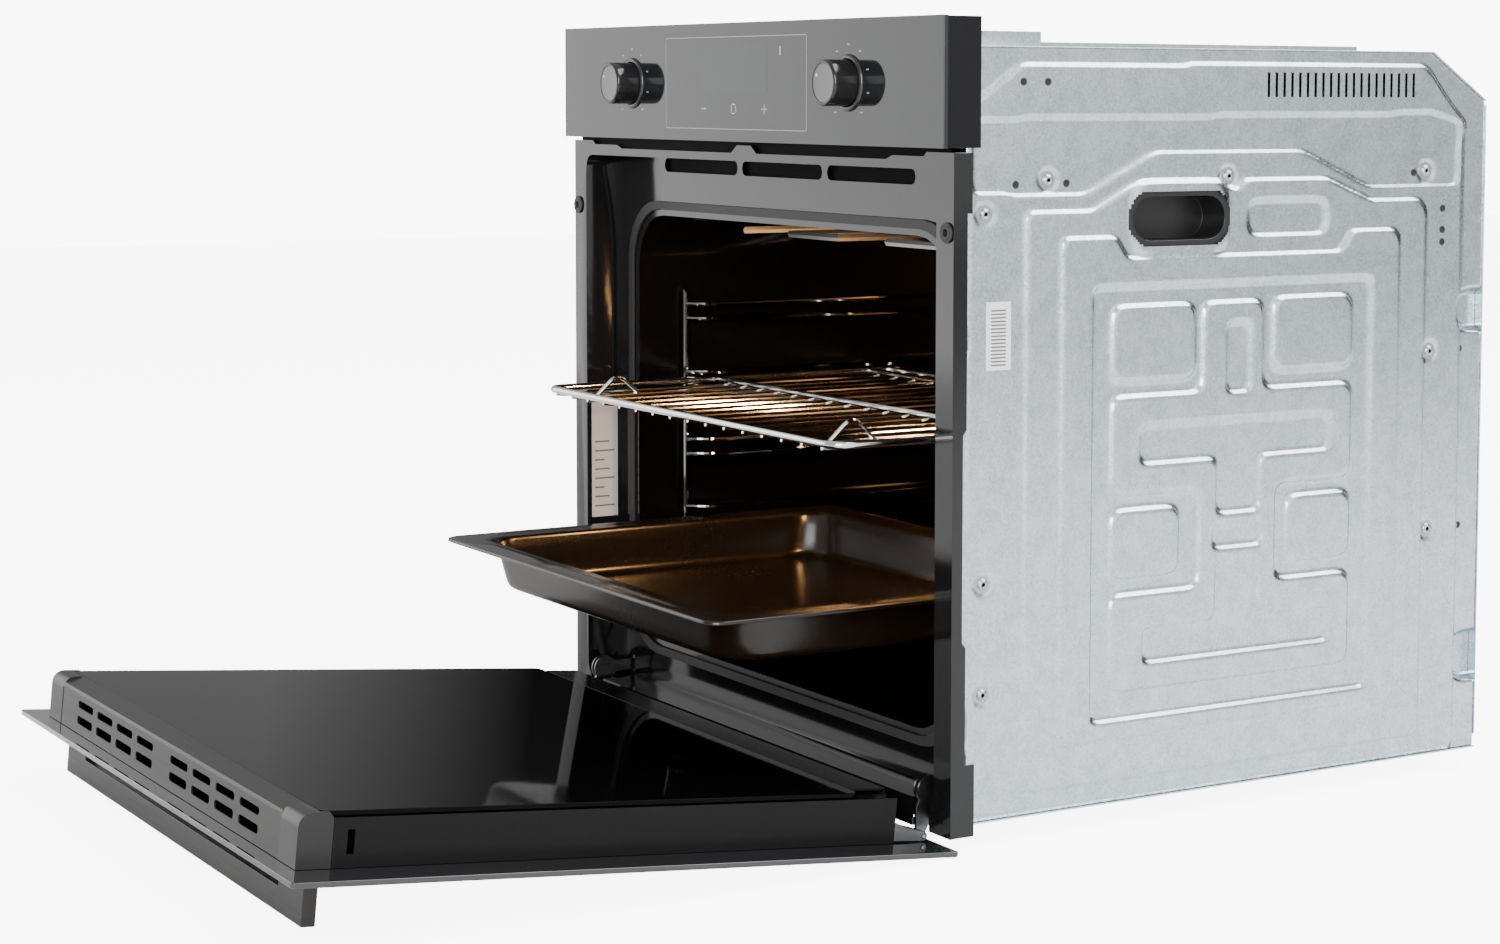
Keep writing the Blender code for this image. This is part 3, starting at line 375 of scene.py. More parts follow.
# %% Copies with a bevel
def softened(node, bevel, segments=2, material=None, angle=30.0):
    """The node's shape with rounded edges, riding where it rides and standing for it."""
    source = nodes[node]
    mesh = source.data.copy()
    mesh.transform(source.matrix_world)
    mesh.name = node + "_soft"
    work = bmesh.new()
    work.from_mesh(mesh)
    bmesh.ops.remove_doubles(work, verts=work.verts, dist=2e-6)
    bmesh.ops.dissolve_limit(work, angle_limit=math.radians(1.0), verts=work.verts, edges=work.edges)
    work.to_mesh(mesh)
    work.free()
    mesh.materials.clear()
    mesh.materials.append(material or finishes[slot_of_node[node]])
    mesh.shade_smooth()
    mesh.set_sharp_from_angle(angle=math.radians(angle))
    made = bpy.data.objects.new(node + "_soft", mesh)
    bpy.context.scene.collection.objects.link(made)
    if bevel:
        edge = made.modifiers.new("edge", "BEVEL")
        edge.width = bevel * 0.001
        edge.segments = segments
        edge.limit_method = "ANGLE"
        edge.angle_limit = math.radians(angle)
        edge.harden_normals = True
    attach(made, body_of_node[node])
    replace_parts(made, node)
    return made


print("bevel helper ready")

# %% [markdown]
# ## The pressed side sheets
# Each side of the casing is one zinc-coated sheet, stiffened by pressed steps: a border, a
# large raised field, a sunk square in it and a labyrinth of raised bars. A press drawing is
# made of closed outlines, so each outline becomes a mask on a grid; blurring the mask and
# steepening it again rounds its corners and gives its wall a slope. The sheet is the sum of
# the masks, each times its own depth, then scaled and set back, so that the drawing lies on
# both sides of the flat solid's face. Beside the front frame it is kept from going deep,
# because the wall of the frame's recess is close behind it there.

# %% The grid of the side sheet
DRAWING_Z = -5.0
SHEET_X, SHEET_FRONT, SHEET_REAR, SHEET_LOW, SHEET_TOP = 280.1, 10.0, 518.0, 13.2, 568.0
CHAMFER_Y, CHAMFER_Z, STEP_Y, STEP_Z = 461.0, 530.0, 23.5, 494.0
VENT_Y = 295.6 + 7.63 * np.arange(20)
VENT_HALF, VENT_LOW, VENT_HIGH = 1.25, 533.6, 552.2
FINE = 1.75


def fine_lines(low, high, fixed):
    """Grid lines about FINE apart from low to high that pass through every fixed value."""
    fixed = np.unique(np.concatenate([[low, high], fixed]))
    counts = np.maximum(1, np.round(np.diff(fixed) / FINE)).astype(int)
    runs = [np.linspace(a, b, n, endpoint=False) for a, b, n in zip(fixed, fixed[1:], counts)]
    return np.concatenate([*runs, [high]])


vent_edges = np.concatenate([VENT_Y - VENT_HALF, VENT_Y + VENT_HALF])
sheet_y = fine_lines(SHEET_FRONT, SHEET_REAR, [*vent_edges, STEP_Y])
sheet_z = fine_lines(SHEET_LOW, SHEET_TOP, [VENT_LOW, VENT_HIGH, STEP_Z, CHAMFER_Z])
GRID_Y, GRID_Z = np.meshgrid(sheet_y, sheet_z, indexing="ij")
print("side grid", GRID_Y.shape)


# %% Outlines to masks
def blur_matrix(lines, sigma):
    """Gaussian weights between grid lines, each row summing to 1 over its own spacing."""
    weight = np.exp(-((lines[:, None] - lines[None, :]) ** 2) / (2 * sigma**2)) * np.gradient(lines)
    return weight / weight.sum(axis=1, keepdims=True)


def inside(outline):
    """1 inside a closed outline and 0 outside: a ray along +y crosses an odd number of edges."""
    found = np.zeros(GRID_Y.shape, bool)
    for (y0, z0), (y1, z1) in zip(outline, [*outline[1:], outline[0]]):
        if z0 != z1:
            spans = (z0 > GRID_Z) != (z1 > GRID_Z)
            found ^= spans & (GRID_Y < y0 + (GRID_Z - z0) * (y1 - y0) / (z1 - z0))
    return found.astype(float)


def pressed(outline, corner, wall):
    """The outline's plateau, 1 on top and 0 off it, with round corners and a wall of that width."""
    outline = [(y, z + DRAWING_Z) for y, z in outline]
    soft = blur_matrix(sheet_y, corner) @ inside(outline) @ blur_matrix(sheet_z, corner).T
    steep = corner * math.sqrt(2 * math.pi) / wall
    ramp = np.clip(0.5 + (soft - 0.5) * steep, 0.0, 1.0)
    return ramp * ramp * (3 - 2 * ramp)


def box_outline(y0, z0, y1, z1):
    """The four corners of an upright rectangle, in order round it."""
    return [(y0, z0), (y1, z0), (y1, z1), (y0, z1)]


print("mask helpers ready")

# %% The press drawing
BORDER = [(24.5, 20.0), (24.5, 530.5), (71.0, 562.0), (452.9, 563.2), (495.5, 531.0), (495.2, 20.0)]
UPPER_FIELD = [(28.3, 522.6), (28.3, 469.9), (125.2, 468.0), (188.2, 497.4), (331.6, 497.6), (395.6, 470.3),
               (488.7, 470.3), (491.5, 527.1)]
FIELD = [(72.9, 34.4), (72.9, 455.3), (131.0, 456.3), (175.6, 477.9), (253.1, 477.9), (258.0, 470.0),
         (267.0, 470.0), (272.5, 478.0), (350.0, 478.0), (398.5, 459.5), (447.0, 459.6), (454.5, 452.0),
         (454.5, 34.4)]
INNER_FIELD = [(103.8, 66.6), (103.8, 436.8), (151.3, 436.8), (162.0, 420.8), (365.5, 421.4), (376.2, 437.0),
               (419.8, 437.0), (426.4, 430.0), (426.4, 68.6)]
SUNK_SQUARE = box_outline(131.8, 79.4, 397.4, 400.8)
LABYRINTH = [(232.7, 386.1), (290.8, 386.1), (290.8, 320.2), (378.1, 320.2), (378.1, 246.9), (303.9, 246.9),
             (303.9, 173.6), (378.0, 173.6), (378.0, 100.4), (149.3, 100.4), (149.3, 173.6), (230.7, 173.6),
             (230.7, 246.9), (149.3, 246.9), (149.3, 320.2), (232.7, 320.2)]
UPPER_TEE = [(175.5, 297.2), (357.7, 297.2), (357.7, 269.4), (288.8, 269.4), (288.8, 227.8), (246.2, 227.8),
             (246.2, 269.4), (175.5, 269.4)]
LOWER_TEE = [(246.2, 190.7), (288.8, 190.7), (288.8, 147.2), (359.5, 147.2), (359.5, 121.0), (177.3, 121.0),
             (177.3, 147.2), (246.2, 147.2)]
PADS = [box_outline(149.3, 330.3, 225.9, 387.0), box_outline(298.6, 331.4, 378.1, 388.1),
        box_outline(149.3, 184.8, 211.3, 235.6), box_outline(315.0, 184.9, 378.0, 235.7)]
SLOTS = [box_outline(254.9, 317.7, 278.2, 370.5), box_outline(243.3, 201.4, 291.7, 217.6)]
OBLONG = box_outline(276.8, 435.9, 353.4, 461.4)
EDGE_CUPS = [box_outline(-14.0, 350.0, 24.0, 383.0), box_outline(-14.0, 73.0, 24.0, 106.0)]
REAR_CUPS = [box_outline(493.0, 354.0, 532.0, 386.3), box_outline(495.0, 73.5, 532.0, 111.7)]
SCREWS = [(94.2, 478.8), (257.9, 479.9), (456.7, 481.6), (461.5, 339.8), (462.3, 198.6), (38.5, 190.6),
          (38.5, 110.5), (38.6, 455.3), (26.4, 553.0)]
HAND_PAD = box_outline(166.0, 422.0, 254.6, 477.0)

# Each row is the depth of a step, the outlines it has, how far it rounds them, and its wall.
STEPS = [(1.6, [BORDER], 3.0, 4.0), (-1.4, [UPPER_FIELD], 3.5, 4.0), (1.8, [FIELD], 3.4, 3.6),
         (1.9, [INNER_FIELD], 3.4, 3.6), (-2.2, [SUNK_SQUARE], 3.4, 3.6), (2.3, [LABYRINTH], 5.0, 3.6),
         (-2.1, [UPPER_TEE, LOWER_TEE], 3.6, 4.0), (2.2, PADS, 5.5, 3.6), (-2.0, SLOTS, 3.4, 4.0),
         (-1.8, [OBLONG], 5.0, 4.0), (-2.6, EDGE_CUPS, 7.0, 5.0), (-4.5, REAR_CUPS, 7.0, 5.0),
         (1.1, [HAND_PAD], 9.0, 6.0)]
DIMPLE = 8.5
turn = np.linspace(0.0, 2 * np.pi, 25)[:-1]
dimples = [list(zip(y + DIMPLE * np.cos(turn), z + DIMPLE * np.sin(turn))) for y, z in SCREWS]
STEPS.append((-0.7, dimples, 1.6, 2.6))
print(len(STEPS), "kinds of step, on", sum(len(row[1]) for row in STEPS), "outlines")

# %% The relief of the sheet
RELIEF_SCALE, SET_BACK = 1.5, 3.4
FRONT_BAND, FRONT_LOWEST, LOWEST = 40.0, -4.4, -12.0
relief = np.zeros(GRID_Y.shape)
for depth, outlines, corner, wall in STEPS:
    for outline in outlines:
        relief += depth * pressed(outline, corner, wall)
lowest = np.where(GRID_Y < FRONT_BAND, FRONT_LOWEST, LOWEST)
relief = np.maximum(RELIEF_SCALE * relief - SET_BACK, lowest)
print("relief from", round(float(relief.min()), 2), "to", round(float(relief.max()), 2), "mm")

# %% The side sheets
# The hand hole is given by its middle and its half sizes in y and z, and by its corner radius.
HAND_HOLE, HAND_CORNER = (210.35, 444.5, 46.95, 20.5), 18.0
SHEET_FOLD = 18.0


def side_sheet(name, side, node):
    """x = side (SHEET_X + relief) on the grid, its edges folded in, the vents and the hand hole open."""
    rows, columns = GRID_Y.shape
    fall = (SHEET_TOP - CHAMFER_Z) / (SHEET_REAR - CHAMFER_Y)
    top = np.where(GRID_Y > CHAMFER_Y, SHEET_TOP - (GRID_Y - CHAMFER_Y) * fall, SHEET_TOP)
    high = np.clip((GRID_Z - STEP_Z) / (SHEET_TOP - STEP_Z), 0.0, 1.0)
    z = np.where(GRID_Z > STEP_Z, STEP_Z + high * (top - STEP_Z), GRID_Z)
    x = side * (SHEET_X + relief)
    points = np.stack([x, GRID_Y, z], -1).reshape(-1, 3)
    quads = grid_faces(rows, columns)
    mid_y = (GRID_Y[:-1, :-1] + GRID_Y[1:, 1:]) / 2
    mid_z = (GRID_Z[:-1, :-1] + GRID_Z[1:, 1:]) / 2
    beside_vent = (np.abs(mid_y[..., None] - VENT_Y) < VENT_HALF).any(-1)
    vent = beside_vent & (mid_z > VENT_LOW) & (mid_z < VENT_HIGH)
    hand_y, hand_z, half_y, half_z = HAND_HOLE
    reach_y = np.maximum(np.abs(mid_y - hand_y) - half_y + HAND_CORNER, 0.0)
    reach_z = np.maximum(np.abs(mid_z - hand_z) - half_z + HAND_CORNER, 0.0)
    hand = np.hypot(reach_y, reach_z) < HAND_CORNER
    step = (mid_y < STEP_Y) & (mid_z > STEP_Z)
    keep = ~(vent | hand | step).reshape(-1)
    quads = quads[keep]
    shapes = [(points, [tuple(quad) for quad in quads])]
    grid = points.reshape(rows, columns, 3)
    for edge in (grid[:, 0], grid[-1], grid[:, -1]):
        folded = edge * (0.0, 1.0, 1.0) + (side * (SHEET_X - SHEET_FOLD), 0.0, 0.0)
        folds = [edge, edge + (-side * 1.0, 0.0, 0.0), folded]
        shapes.append((np.stack(folds, 0).reshape(-1, 3), [tuple(quad) for quad in grid_faces(3, len(edge))]))
    points, faces = gather(shapes)
    made = piece(name, points, faces, "casing", "galvanised", smooth=60.0, stands_for=(node,))
    mesh = made.data
    facing = sum(polygon.normal.x * polygon.area for polygon in mesh.polygons)
    if facing * side < 0:
        mesh.flip_normals()
    return made


for label, side in (("left", -1), ("right", 1)):
    made = side_sheet("side_sheet_" + label, side, "side_panel_" + label)
    print(made.name, len(made.data.polygons), "faces")

# %% [markdown]
# ## Screws, holes and flanges of the casing
# Pan-head screws hold the sheet to the chassis, each in its own round dimple, with a near-black
# disc across the socket in its head as painted shade, and small punched holes sit beside them,
# each a black disc in a raised burr, the black painted shade for the hollow behind. All three are
# profiles turned about X that stand on the pressed sheet, so each asks for the sheet's height at its place.
# The sheet's front edge folds out to a flange behind the enamel frame.

# %% Screws and holes
HOLES = [(71.0, 549.1), (92.3, 549.1), (66.1, 475.8), (473.2, 451.8), (473.2, 435.1), (473.2, 425.4),
         (495.9, 339.9), (497.7, 198.6), (110.6, 476.3), (444.1, 480.1)]


def level_at(y, z):
    """The height of the pressed sheet at a point of the drawing."""
    i, j = np.searchsorted(sheet_y, y), np.searchsorted(sheet_z, z + DRAWING_Z)
    return float(relief[min(i, len(sheet_y) - 1), min(j, len(sheet_z) - 1)])


HEAD = [(0.0, 1.0), (1.3, 1.2), (1.5, 2.3), (2.4, 2.7), (3.6, 2.2), (4.4, 1.0), (4.5, 0.3), (6.6, 0.3),
        (6.8, 0.0), (7.4, -0.6)]
SOCKET = [(0.0, 1.9), (1.5, 2.05), (1.9, 2.5), (2.1, 2.4)]
PUNCHED = [(0.0, 0.16), (1.9, 0.16), (2.1, 0.34), (2.9, 0.1), (3.2, -0.4)]


def on_sheet(profile, places, side, sides):
    """The profile spun about x at each place, from x = side (SHEET_X + relief there) outwards."""
    shapes = []
    for y, z in places:
        seat = SHEET_X + level_at(y, z)
        spun = [(r, side * (seat + along)) for r, along in profile]
        shapes.append(turned(spun, (0.0, y, z + DRAWING_Z), "x", sides))
    return gather(shapes)


for label, side in (("left", -1), ("right", 1)):
    points, faces = on_sheet(HEAD, SCREWS, side, 20)
    piece("sheet_screws_" + label, points, faces, "casing", "steel")
    # A near-black disc across each screw's socket: painted shade for the hollow in the head.
    points, faces = on_sheet(SOCKET, SCREWS, side, 10)
    piece("screw_sockets_" + label, points, faces, "casing", "black_plastic", painted_shade_black)
    # Each punched hole is a black disc inside a raised burr: the black is painted shade for the hollow behind
    # the hole.
    points, faces = on_sheet(PUNCHED, HOLES, side, 14)
    piece("sheet_holes_" + label, points, faces, "casing", "black_plastic")
print(len(SCREWS), "screws and", len(HOLES), "holes a side")


# %% Flanges
def bar(lo, hi):
    """A box from corner to corner as a grid of its eight points."""
    (x0, y0, z0), (x1, y1, z1) = lo, hi
    points = [(x, y, z) for x in (x0, x1) for y in (y0, y1) for z in (z0, z1)]
    return points, [(0, 1, 3, 2), (4, 6, 7, 5), (0, 4, 5, 1), (2, 3, 7, 6), (0, 2, 6, 4), (1, 5, 7, 3)]


FLANGE_IN, FLANGE_OUT, FLANGE_TOP, FLANGE_THICK = SHEET_X - 4.0, 295.4, 490.0, 1.0
for label, side in (("left", -1), ("right", 1)):
    near, far = sorted((side * FLANGE_IN, side * FLANGE_OUT))
    points, faces = bar((near, SHEET_FRONT, SHEET_LOW), (far, SHEET_FRONT + FLANGE_THICK, FLANGE_TOP))
    piece("sheet_flange_" + label, points, faces, "casing", "galvanised")
print("flanges", round(FLANGE_OUT - FLANGE_IN, 1), "mm wide")

# %% [markdown]
# ## Painted shade behind the gaps, and stickers
# Behind the gap under the control panel and behind the three air slots, two near-black strips
# with almost no gloss close the gaps: painted shade for the dark inside them. A white sticker lies on the
# side sheet and a grey plate in the mouth. Both are thin raised bars with plain bands, because
# a plain band says where print goes and holds no words.

# %% Painted shade: dark strips behind the gaps
# The strips take the near-black finish: painted shade, not a colour of the frame.
shade_strips = [bar((-289.0, 3.0, 487.0), (289.0, 4.0, 503.0)), bar((-215.0, 37.0, 446.0), (215.0, 38.0, 480.0))]
points, faces = gather(shade_strips)
piece("painted_shade_strips", points, faces, "casing", "enamel", painted_shade_black)
print("lips behind the slots made")

# %% Blank sticker on the side
sticker = finish("white_sticker", (0.82, 0.82, 0.8), 0.0, 0.45, ins={"Amount": 0.2})
sticker_band = finish("grey_print", (0.12, 0.12, 0.12), 0.0, 0.5, ins={"Amount": 0.2})
level = SHEET_X + level_at(50.0, 370.0)
points, faces = bar((level + 0.05, 39.9, 338.9), (level + 0.25, 61.2, 387.8))
piece("side_sticker", points, faces, "casing", "galvanised", sticker)
bands = []
for i in range(16):
    z = 342.0 + 2.6 * i
    bands.append(bar((level + 0.25, 44.0, z), (level + 0.3, 57.0, z + 1.2)))
points, faces = gather(bands)
piece("side_sticker_bands", points, faces, "casing", "galvanised", sticker_band)
print("side sticker with", len(bands), "bands")

# %% Blank plate in the mouth
plate_grey = finish("rating_plate", (0.5, 0.5, 0.49), 0.1, 0.4, ins={"Amount": 0.2})
points, faces = bar((-274.9, 4.0, 167.0), (-274.6, 29.0, 267.0))
piece("rating_plate", points, faces, "casing", "galvanised", plate_grey)
bands = []
for i in range(8):
    z, reach = 176.0 + 8.0 * i, 26.0 - 5.0 * (i % 3)
    bands.append(bar((-274.6, 7.0, z), (-274.5, reach, z + 1.4)))
points, faces = gather(bands)
piece("rating_plate_bands", points, faces, "casing", "galvanised", sticker_band)
print("plate with", len(bands), "bands")

# %% [markdown]
# ## The wire rack
# The rack is bright wire: a stout rim with round corners, a row of long thin wires welded
# under it, two cross wires, and two small hoops that stop it from tipping. Each wire is a
# circle carried along an eased path.

# %% Rack wires
RACK_FRONT, RACK_Z, RACK_HALF, RACK_DEEP = -57.0, 286.4, 233.0, 343.0
RACK_PITCH, RACK_WIRES = 28.8, 16
RIM_WIRE, LONG_WIRE, CROSS_WIRE, HOOP_WIRE = 3.0, 1.6, 2.4, 1.7
rack_at = np.array([0.0, RACK_FRONT, RACK_Z])
corners = [(-RACK_HALF, 0, 0), (RACK_HALF, 0, 0), (RACK_HALF, RACK_DEEP, 0), (-RACK_HALF, RACK_DEEP, 0)]
wires = [tube(rack_at + eased(corners, 16.0, 8, closed=True), RIM_WIRE, 14, closed=True)]
for i in range(RACK_WIRES):
    x = RACK_PITCH * (i - (RACK_WIRES - 1) / 2)
    ends = [(x, -0.9, -3.2), (x, 6.0, -4.0), (x, RACK_DEEP - 6.0, -4.0), (x, RACK_DEEP + 0.9, -3.2)]
    run = eased(ends, 4.0, 4)
    wires.append(tube(rack_at + run, LONG_WIRE, 8))
for y in (165.0, 318.0):
    run = [(-RACK_HALF, y, -0.2), (0.0, y, -0.2), (RACK_HALF, y, -0.2)]
    wires.append(tube(rack_at + run, CROSS_WIRE, 10))
for side in (-1, 1):
    x = side * 6.5 * RACK_PITCH
    hoop = eased([(x, 22.0, -3.6), (x, 38.0, 11.0), (x, 46.0, 11.0), (x, 62.0, -3.6)], 6.0, 6)
    wires.append(tube(rack_at + hoop, HOOP_WIRE, 8))
points, faces = gather(wires)
made = piece("rack_wires", points, faces, "rack", "chrome", stands_for=("wire_rack",), tidy=False)
print(made.name, len(made.data.polygons), "faces")

# %% [markdown]
# ## The side ladders
# The rack and the tray slide on wire ladders along both walls of the cavity: two posts bent
# towards the wall at their ends, and five pairs of rungs between them. They are tubes on
# eased paths like the rack's wires. Their chrome is darker, because they stand in the shade
# of a black cavity and have less to mirror.

# %% Side ladders
# The ladders' chrome is a darker copy of the rack's chrome: painted shade for the shade of the cavity walls.
ladder_painted_shade = finish("ladder_chrome", (0.30, 0.29, 0.28), 1.0, 0.07, ins={"Amount": 0.1})
LADDER_LEVELS = [352.5 - 59.0 * step for step in range(5)]
LADDER_FRONT, LADDER_REAR, WALL_X, POST_X, RUNG_X, PAIR_DROP = 78.0, 404.0, 245.6, 240.5, 226.4, 12.6
POST_WIRE, RUNG_WIRE = 2.4, 2.2
for label, side in (("left", -1), ("right", 1)):
    low, high = LADDER_LEVELS[-1] - PAIR_DROP - 4.0, LADDER_LEVELS[0] + 18.0
    wires = []
    for y in (LADDER_FRONT, LADDER_REAR):
        post, wall = side * POST_X, side * WALL_X
        run = [(wall, y, low + 14.0), (post, y, low + 14.0), (post, y, high - 6.0), (wall, y, high - 6.0)]
        wires.append(tube(eased(run, 4.0, 5), POST_WIRE, 10))
    for level in LADDER_LEVELS:
        for z in (level, level - PAIR_DROP):
            run = [(side * POST_X, LADDER_FRONT, z), (side * RUNG_X, LADDER_FRONT + 14.0, z),
                   (side * RUNG_X, LADDER_REAR - 14.0, z), (side * POST_X, LADDER_REAR, z)]
            wires.append(tube(eased(run, 9.0, 5), RUNG_WIRE, 10))
    points, faces = gather(wires)
    piece("ladder_wires_" + label, points, faces, "casing", "chrome", ladder_painted_shade,
          stands_for=("ladder_" + label,), tidy=False)
print("ladders made")

# %% [markdown]
# ## The baking tray
# The tray is pressed from one enamelled sheet: a wide flat rim with long raised pads, a
# turned-down edge, sloping walls and a floor with large round corners. Loops of a rounded
# rectangle, each with its own inset, height and corner radius, are stacked into one skin.

# %% Tray skin
TRAY_FRONT, TRAY_Z, TRAY_HALF, TRAY_DEEP = -156.0, 168.4, 230.0, 375.0


def round_rect(half_u, half_v, radius, steps=10, per_side=40):
    """Quarter circles round the four inner corners, with straight runs of equal steps between."""
    quarter = np.linspace(0.0, np.pi / 2, steps)
    corners = np.array([(1, 1), (-1, 1), (-1, -1), (1, -1)]) * (half_u - radius, half_v - radius)
    t = np.linspace(0.0, 1.0, per_side + 1)[1:-1, None]
    loop = []
    for k in range(4):
        angle = quarter + k * np.pi / 2
        loop.append(corners[k] + radius * np.column_stack([np.cos(angle), np.sin(angle)]))
        after = (k + 1) * np.pi / 2
        ahead = corners[(k + 1) % 4] + radius * np.array([np.cos(after), np.sin(after)])
        loop.append(loop[-1][-1] * (1 - t) + ahead * t)
    return np.concatenate(loop)


# Each row is a loop's inset from the rim, its height and its corner radius: the turned-down
# edge, the flat rim, the wall and the floor.
RIM_PROFILE = [(0.6, -3.0, 14.0), (0.0, -2.6, 14.0), (0.0, -1.0, 14.0), (0.35, -0.3, 14.0),
               (1.0, 0.0, 14.0), (4.0, 0.0, 15.0), (6.5, 0.0, 16.0), (8.5, 0.0, 17.0), (12.0, 0.0, 19.0),
               (15.5, 0.0, 20.0), (17.5, 0.0, 21.0), (21.0, 0.0, 22.0), (24.0, 0.0, 23.0),
               (25.6, -0.5, 24.0), (26.6, -1.8, 25.0), (27.4, -4.0, 26.0), (29.0, -12.0, 28.0),
               (31.0, -24.0, 30.0), (32.4, -32.0, 31.0), (33.8, -35.6, 31.0), (36.5, -37.6, 31.0),
               (40.0, -38.0, 30.0), (70.0, -38.0, 20.0)]
loops = []
for inset, z, radius in RIM_PROFILE:
    outline = round_rect(TRAY_HALF - inset, TRAY_DEEP / 2 - inset, radius)
    loops.append(np.column_stack([outline, np.full(len(outline), z)]))
loops = np.stack(loops)
print(loops.shape[0], "loops of", loops.shape[1], "points")

# %% Pads on the rim, and the finished tray
PAD_INSET, PAD_RISE = 12.0, 1.8
inset_of_loop = np.array([row[0] for row in RIM_PROFILE])[:, None]
across = np.clip(1 - np.abs(inset_of_loop - PAD_INSET) / 6.0, 0.0, 1.0)
short_side = np.abs(loops[..., 1]) > TRAY_DEEP / 2 - 27.5
along = np.where(short_side, loops[..., 0], loops[..., 1])
spacing = np.where(short_side, 118.0, 104.0)
from_middle = np.abs((along / spacing + 0.5) % 1.0 - 0.5) * spacing
pad = np.clip((spacing / 2 - 8.0 - from_middle) / 5.0, 0.0, 1.0)
pad *= np.abs(along) < np.where(short_side, 177.0, 150.0)
loops[..., 2] += PAD_RISE * across * pad
points = loops.reshape(-1, 3)
rows, columns = loops.shape[:2]
faces = [tuple(quad) for quad in grid_faces(rows, columns, wrap_columns=True)]
faces.append(tuple(range((rows - 1) * columns, rows * columns)))
points = points + (0.0, TRAY_FRONT + TRAY_DEEP / 2, TRAY_Z)
tray_brown = finish("tray_enamel", (0.007, 0.004, 0.002), 0.0, 0.22, ins={"Amount": 0.25}, bump=0.03)
made = piece("tray_skin", points, faces, "tray", "enamel", tray_brown, 40.0, ("baking_tray",))
if made.data.polygons[-1].normal.z < 0:
    made.data.flip_normals()
wall = made.modifiers.new("wall", "SOLIDIFY")
wall.thickness = 0.0008
wall.offset = -1.0
print(made.name, len(made.data.polygons), "faces")

# %% [markdown]
# ## Knobs and their collars
# Each knob is turned: a black barrel with a rounded front edge, a satin face let into it, and
# a small dot that points to the setting. A dark glossy ring lines the hole in the glass. All
# three could be cut from cylinders, but a turned profile gives their rounded edges at once.

# %% Turned knobs
KNOB_X, KNOB_Z = 171.0, 543.0
BARREL = [(14.3, -30.2), (14.5, -30.8), (15.2, -31.0), (16.1, -30.7), (16.8, -29.9), (17.0, -28.9),
          (17.0, -9.0), (16.6, -6.6), (15.6, -6.0), (8.2, -6.0), (8.0, -5.8), (8.0, 7.6), (7.6, 8.0),
          (3.4, 8.0), (3.35, 6.0), (3.35, -28.0)]
FACE = [(0.0, -30.35), (13.2, -30.35), (14.2, -30.5), (14.5, -30.2)]
DOT = [(0.0, -30.75), (1.1, -30.7), (1.4, -30.4)]
COLLAR = [(17.5, -5.2), (17.5, -10.4), (17.9, -11.1), (18.8, -11.3), (20.2, -10.9), (20.9, -10.0),
          (21.0, -9.35), (18.55, -9.3), (18.5, -5.0), (17.5, -5.0)]
knob_face = finish("knob_face", (0.13, 0.13, 0.135), 0.8, 0.3, ins={"Amount": 0.2}, bump=0.1)
knob_gloss = finish("knob_gloss", (0.012, 0.012, 0.013), 0.0, 0.12, ins={"Amount": 0.15})
collar_black = finish("collar_black", (0.05, 0.05, 0.052), 0.6, 0.14, ins={"Amount": 0.15})
mark_white = finish("mark_white", (0.62, 0.62, 0.62), 0.0, 0.5, ins={"Amount": 0.1})
for label, side in (("left", -1), ("right", 1)):
    centre = (side * KNOB_X, 0.0, KNOB_Z)
    points, faces = turned(BARREL, centre, sides=56)
    piece("knob_barrel_" + label, points, faces, "dial_" + label, "black_plastic", knob_gloss, 40.0,
          ("knob_" + label,))
    points, faces = turned(FACE, centre, sides=56)
    piece("knob_face_" + label, points, faces, "dial_" + label, "satin_metal", knob_face, 40.0)
    points, faces = turned(DOT, (side * KNOB_X - 9.6, 0.0, KNOB_Z + 5.5), sides=16)
    piece("knob_dot_" + label, points, faces, "dial_" + label, "black_plastic", mark_white, 40.0)
    points, faces = turned(COLLAR, centre, sides=56)
    piece("collar_" + label, points, faces, "casing", "chrome", collar_black, 40.0, ("knob_collar_" + label,))
print("knobs and collars made")

# %% [markdown]
# ## The control glass
# The glass is printed from behind, so it is plain and glossy, with a faint frame round the
# display, a darker window, plain touch marks and short ticks round each knob. Each mark is
# a thin raised print, a tenth of a millimetre over the glass.

# %% Printed marks
PRINT_Y = -9.0
print_grey = finish("print_grey", (0.34, 0.34, 0.35), 0.0, 0.3, ins={"Amount": 0.1})
window_dark = finish("window_dark", (0.013, 0.015, 0.017), 0.0, 0.05, ins={"Amount": 0.05})


def stroke(x0, z0, x1, z1):
    """A flat bar of print on the glass, from its low corner to its high one."""
    return bar((x0, PRINT_Y - 0.08, z0), (x1, PRINT_Y + 0.02, z1))


def printed(name, strokes, material):
    """One piece made of all the strokes of a mark."""
    points, faces = gather(strokes)
    piece(name, points, faces, "casing", "black_glass", material)


def hollow_box(half_x, low, high, line):
    """Four strokes along the sides of an upright rectangle round x = 0."""
    return [stroke(-half_x, low, half_x, low + line), stroke(-half_x, high - line, half_x, high),
            stroke(-half_x, low, -half_x + line, high), stroke(half_x - line, low, half_x, high)]


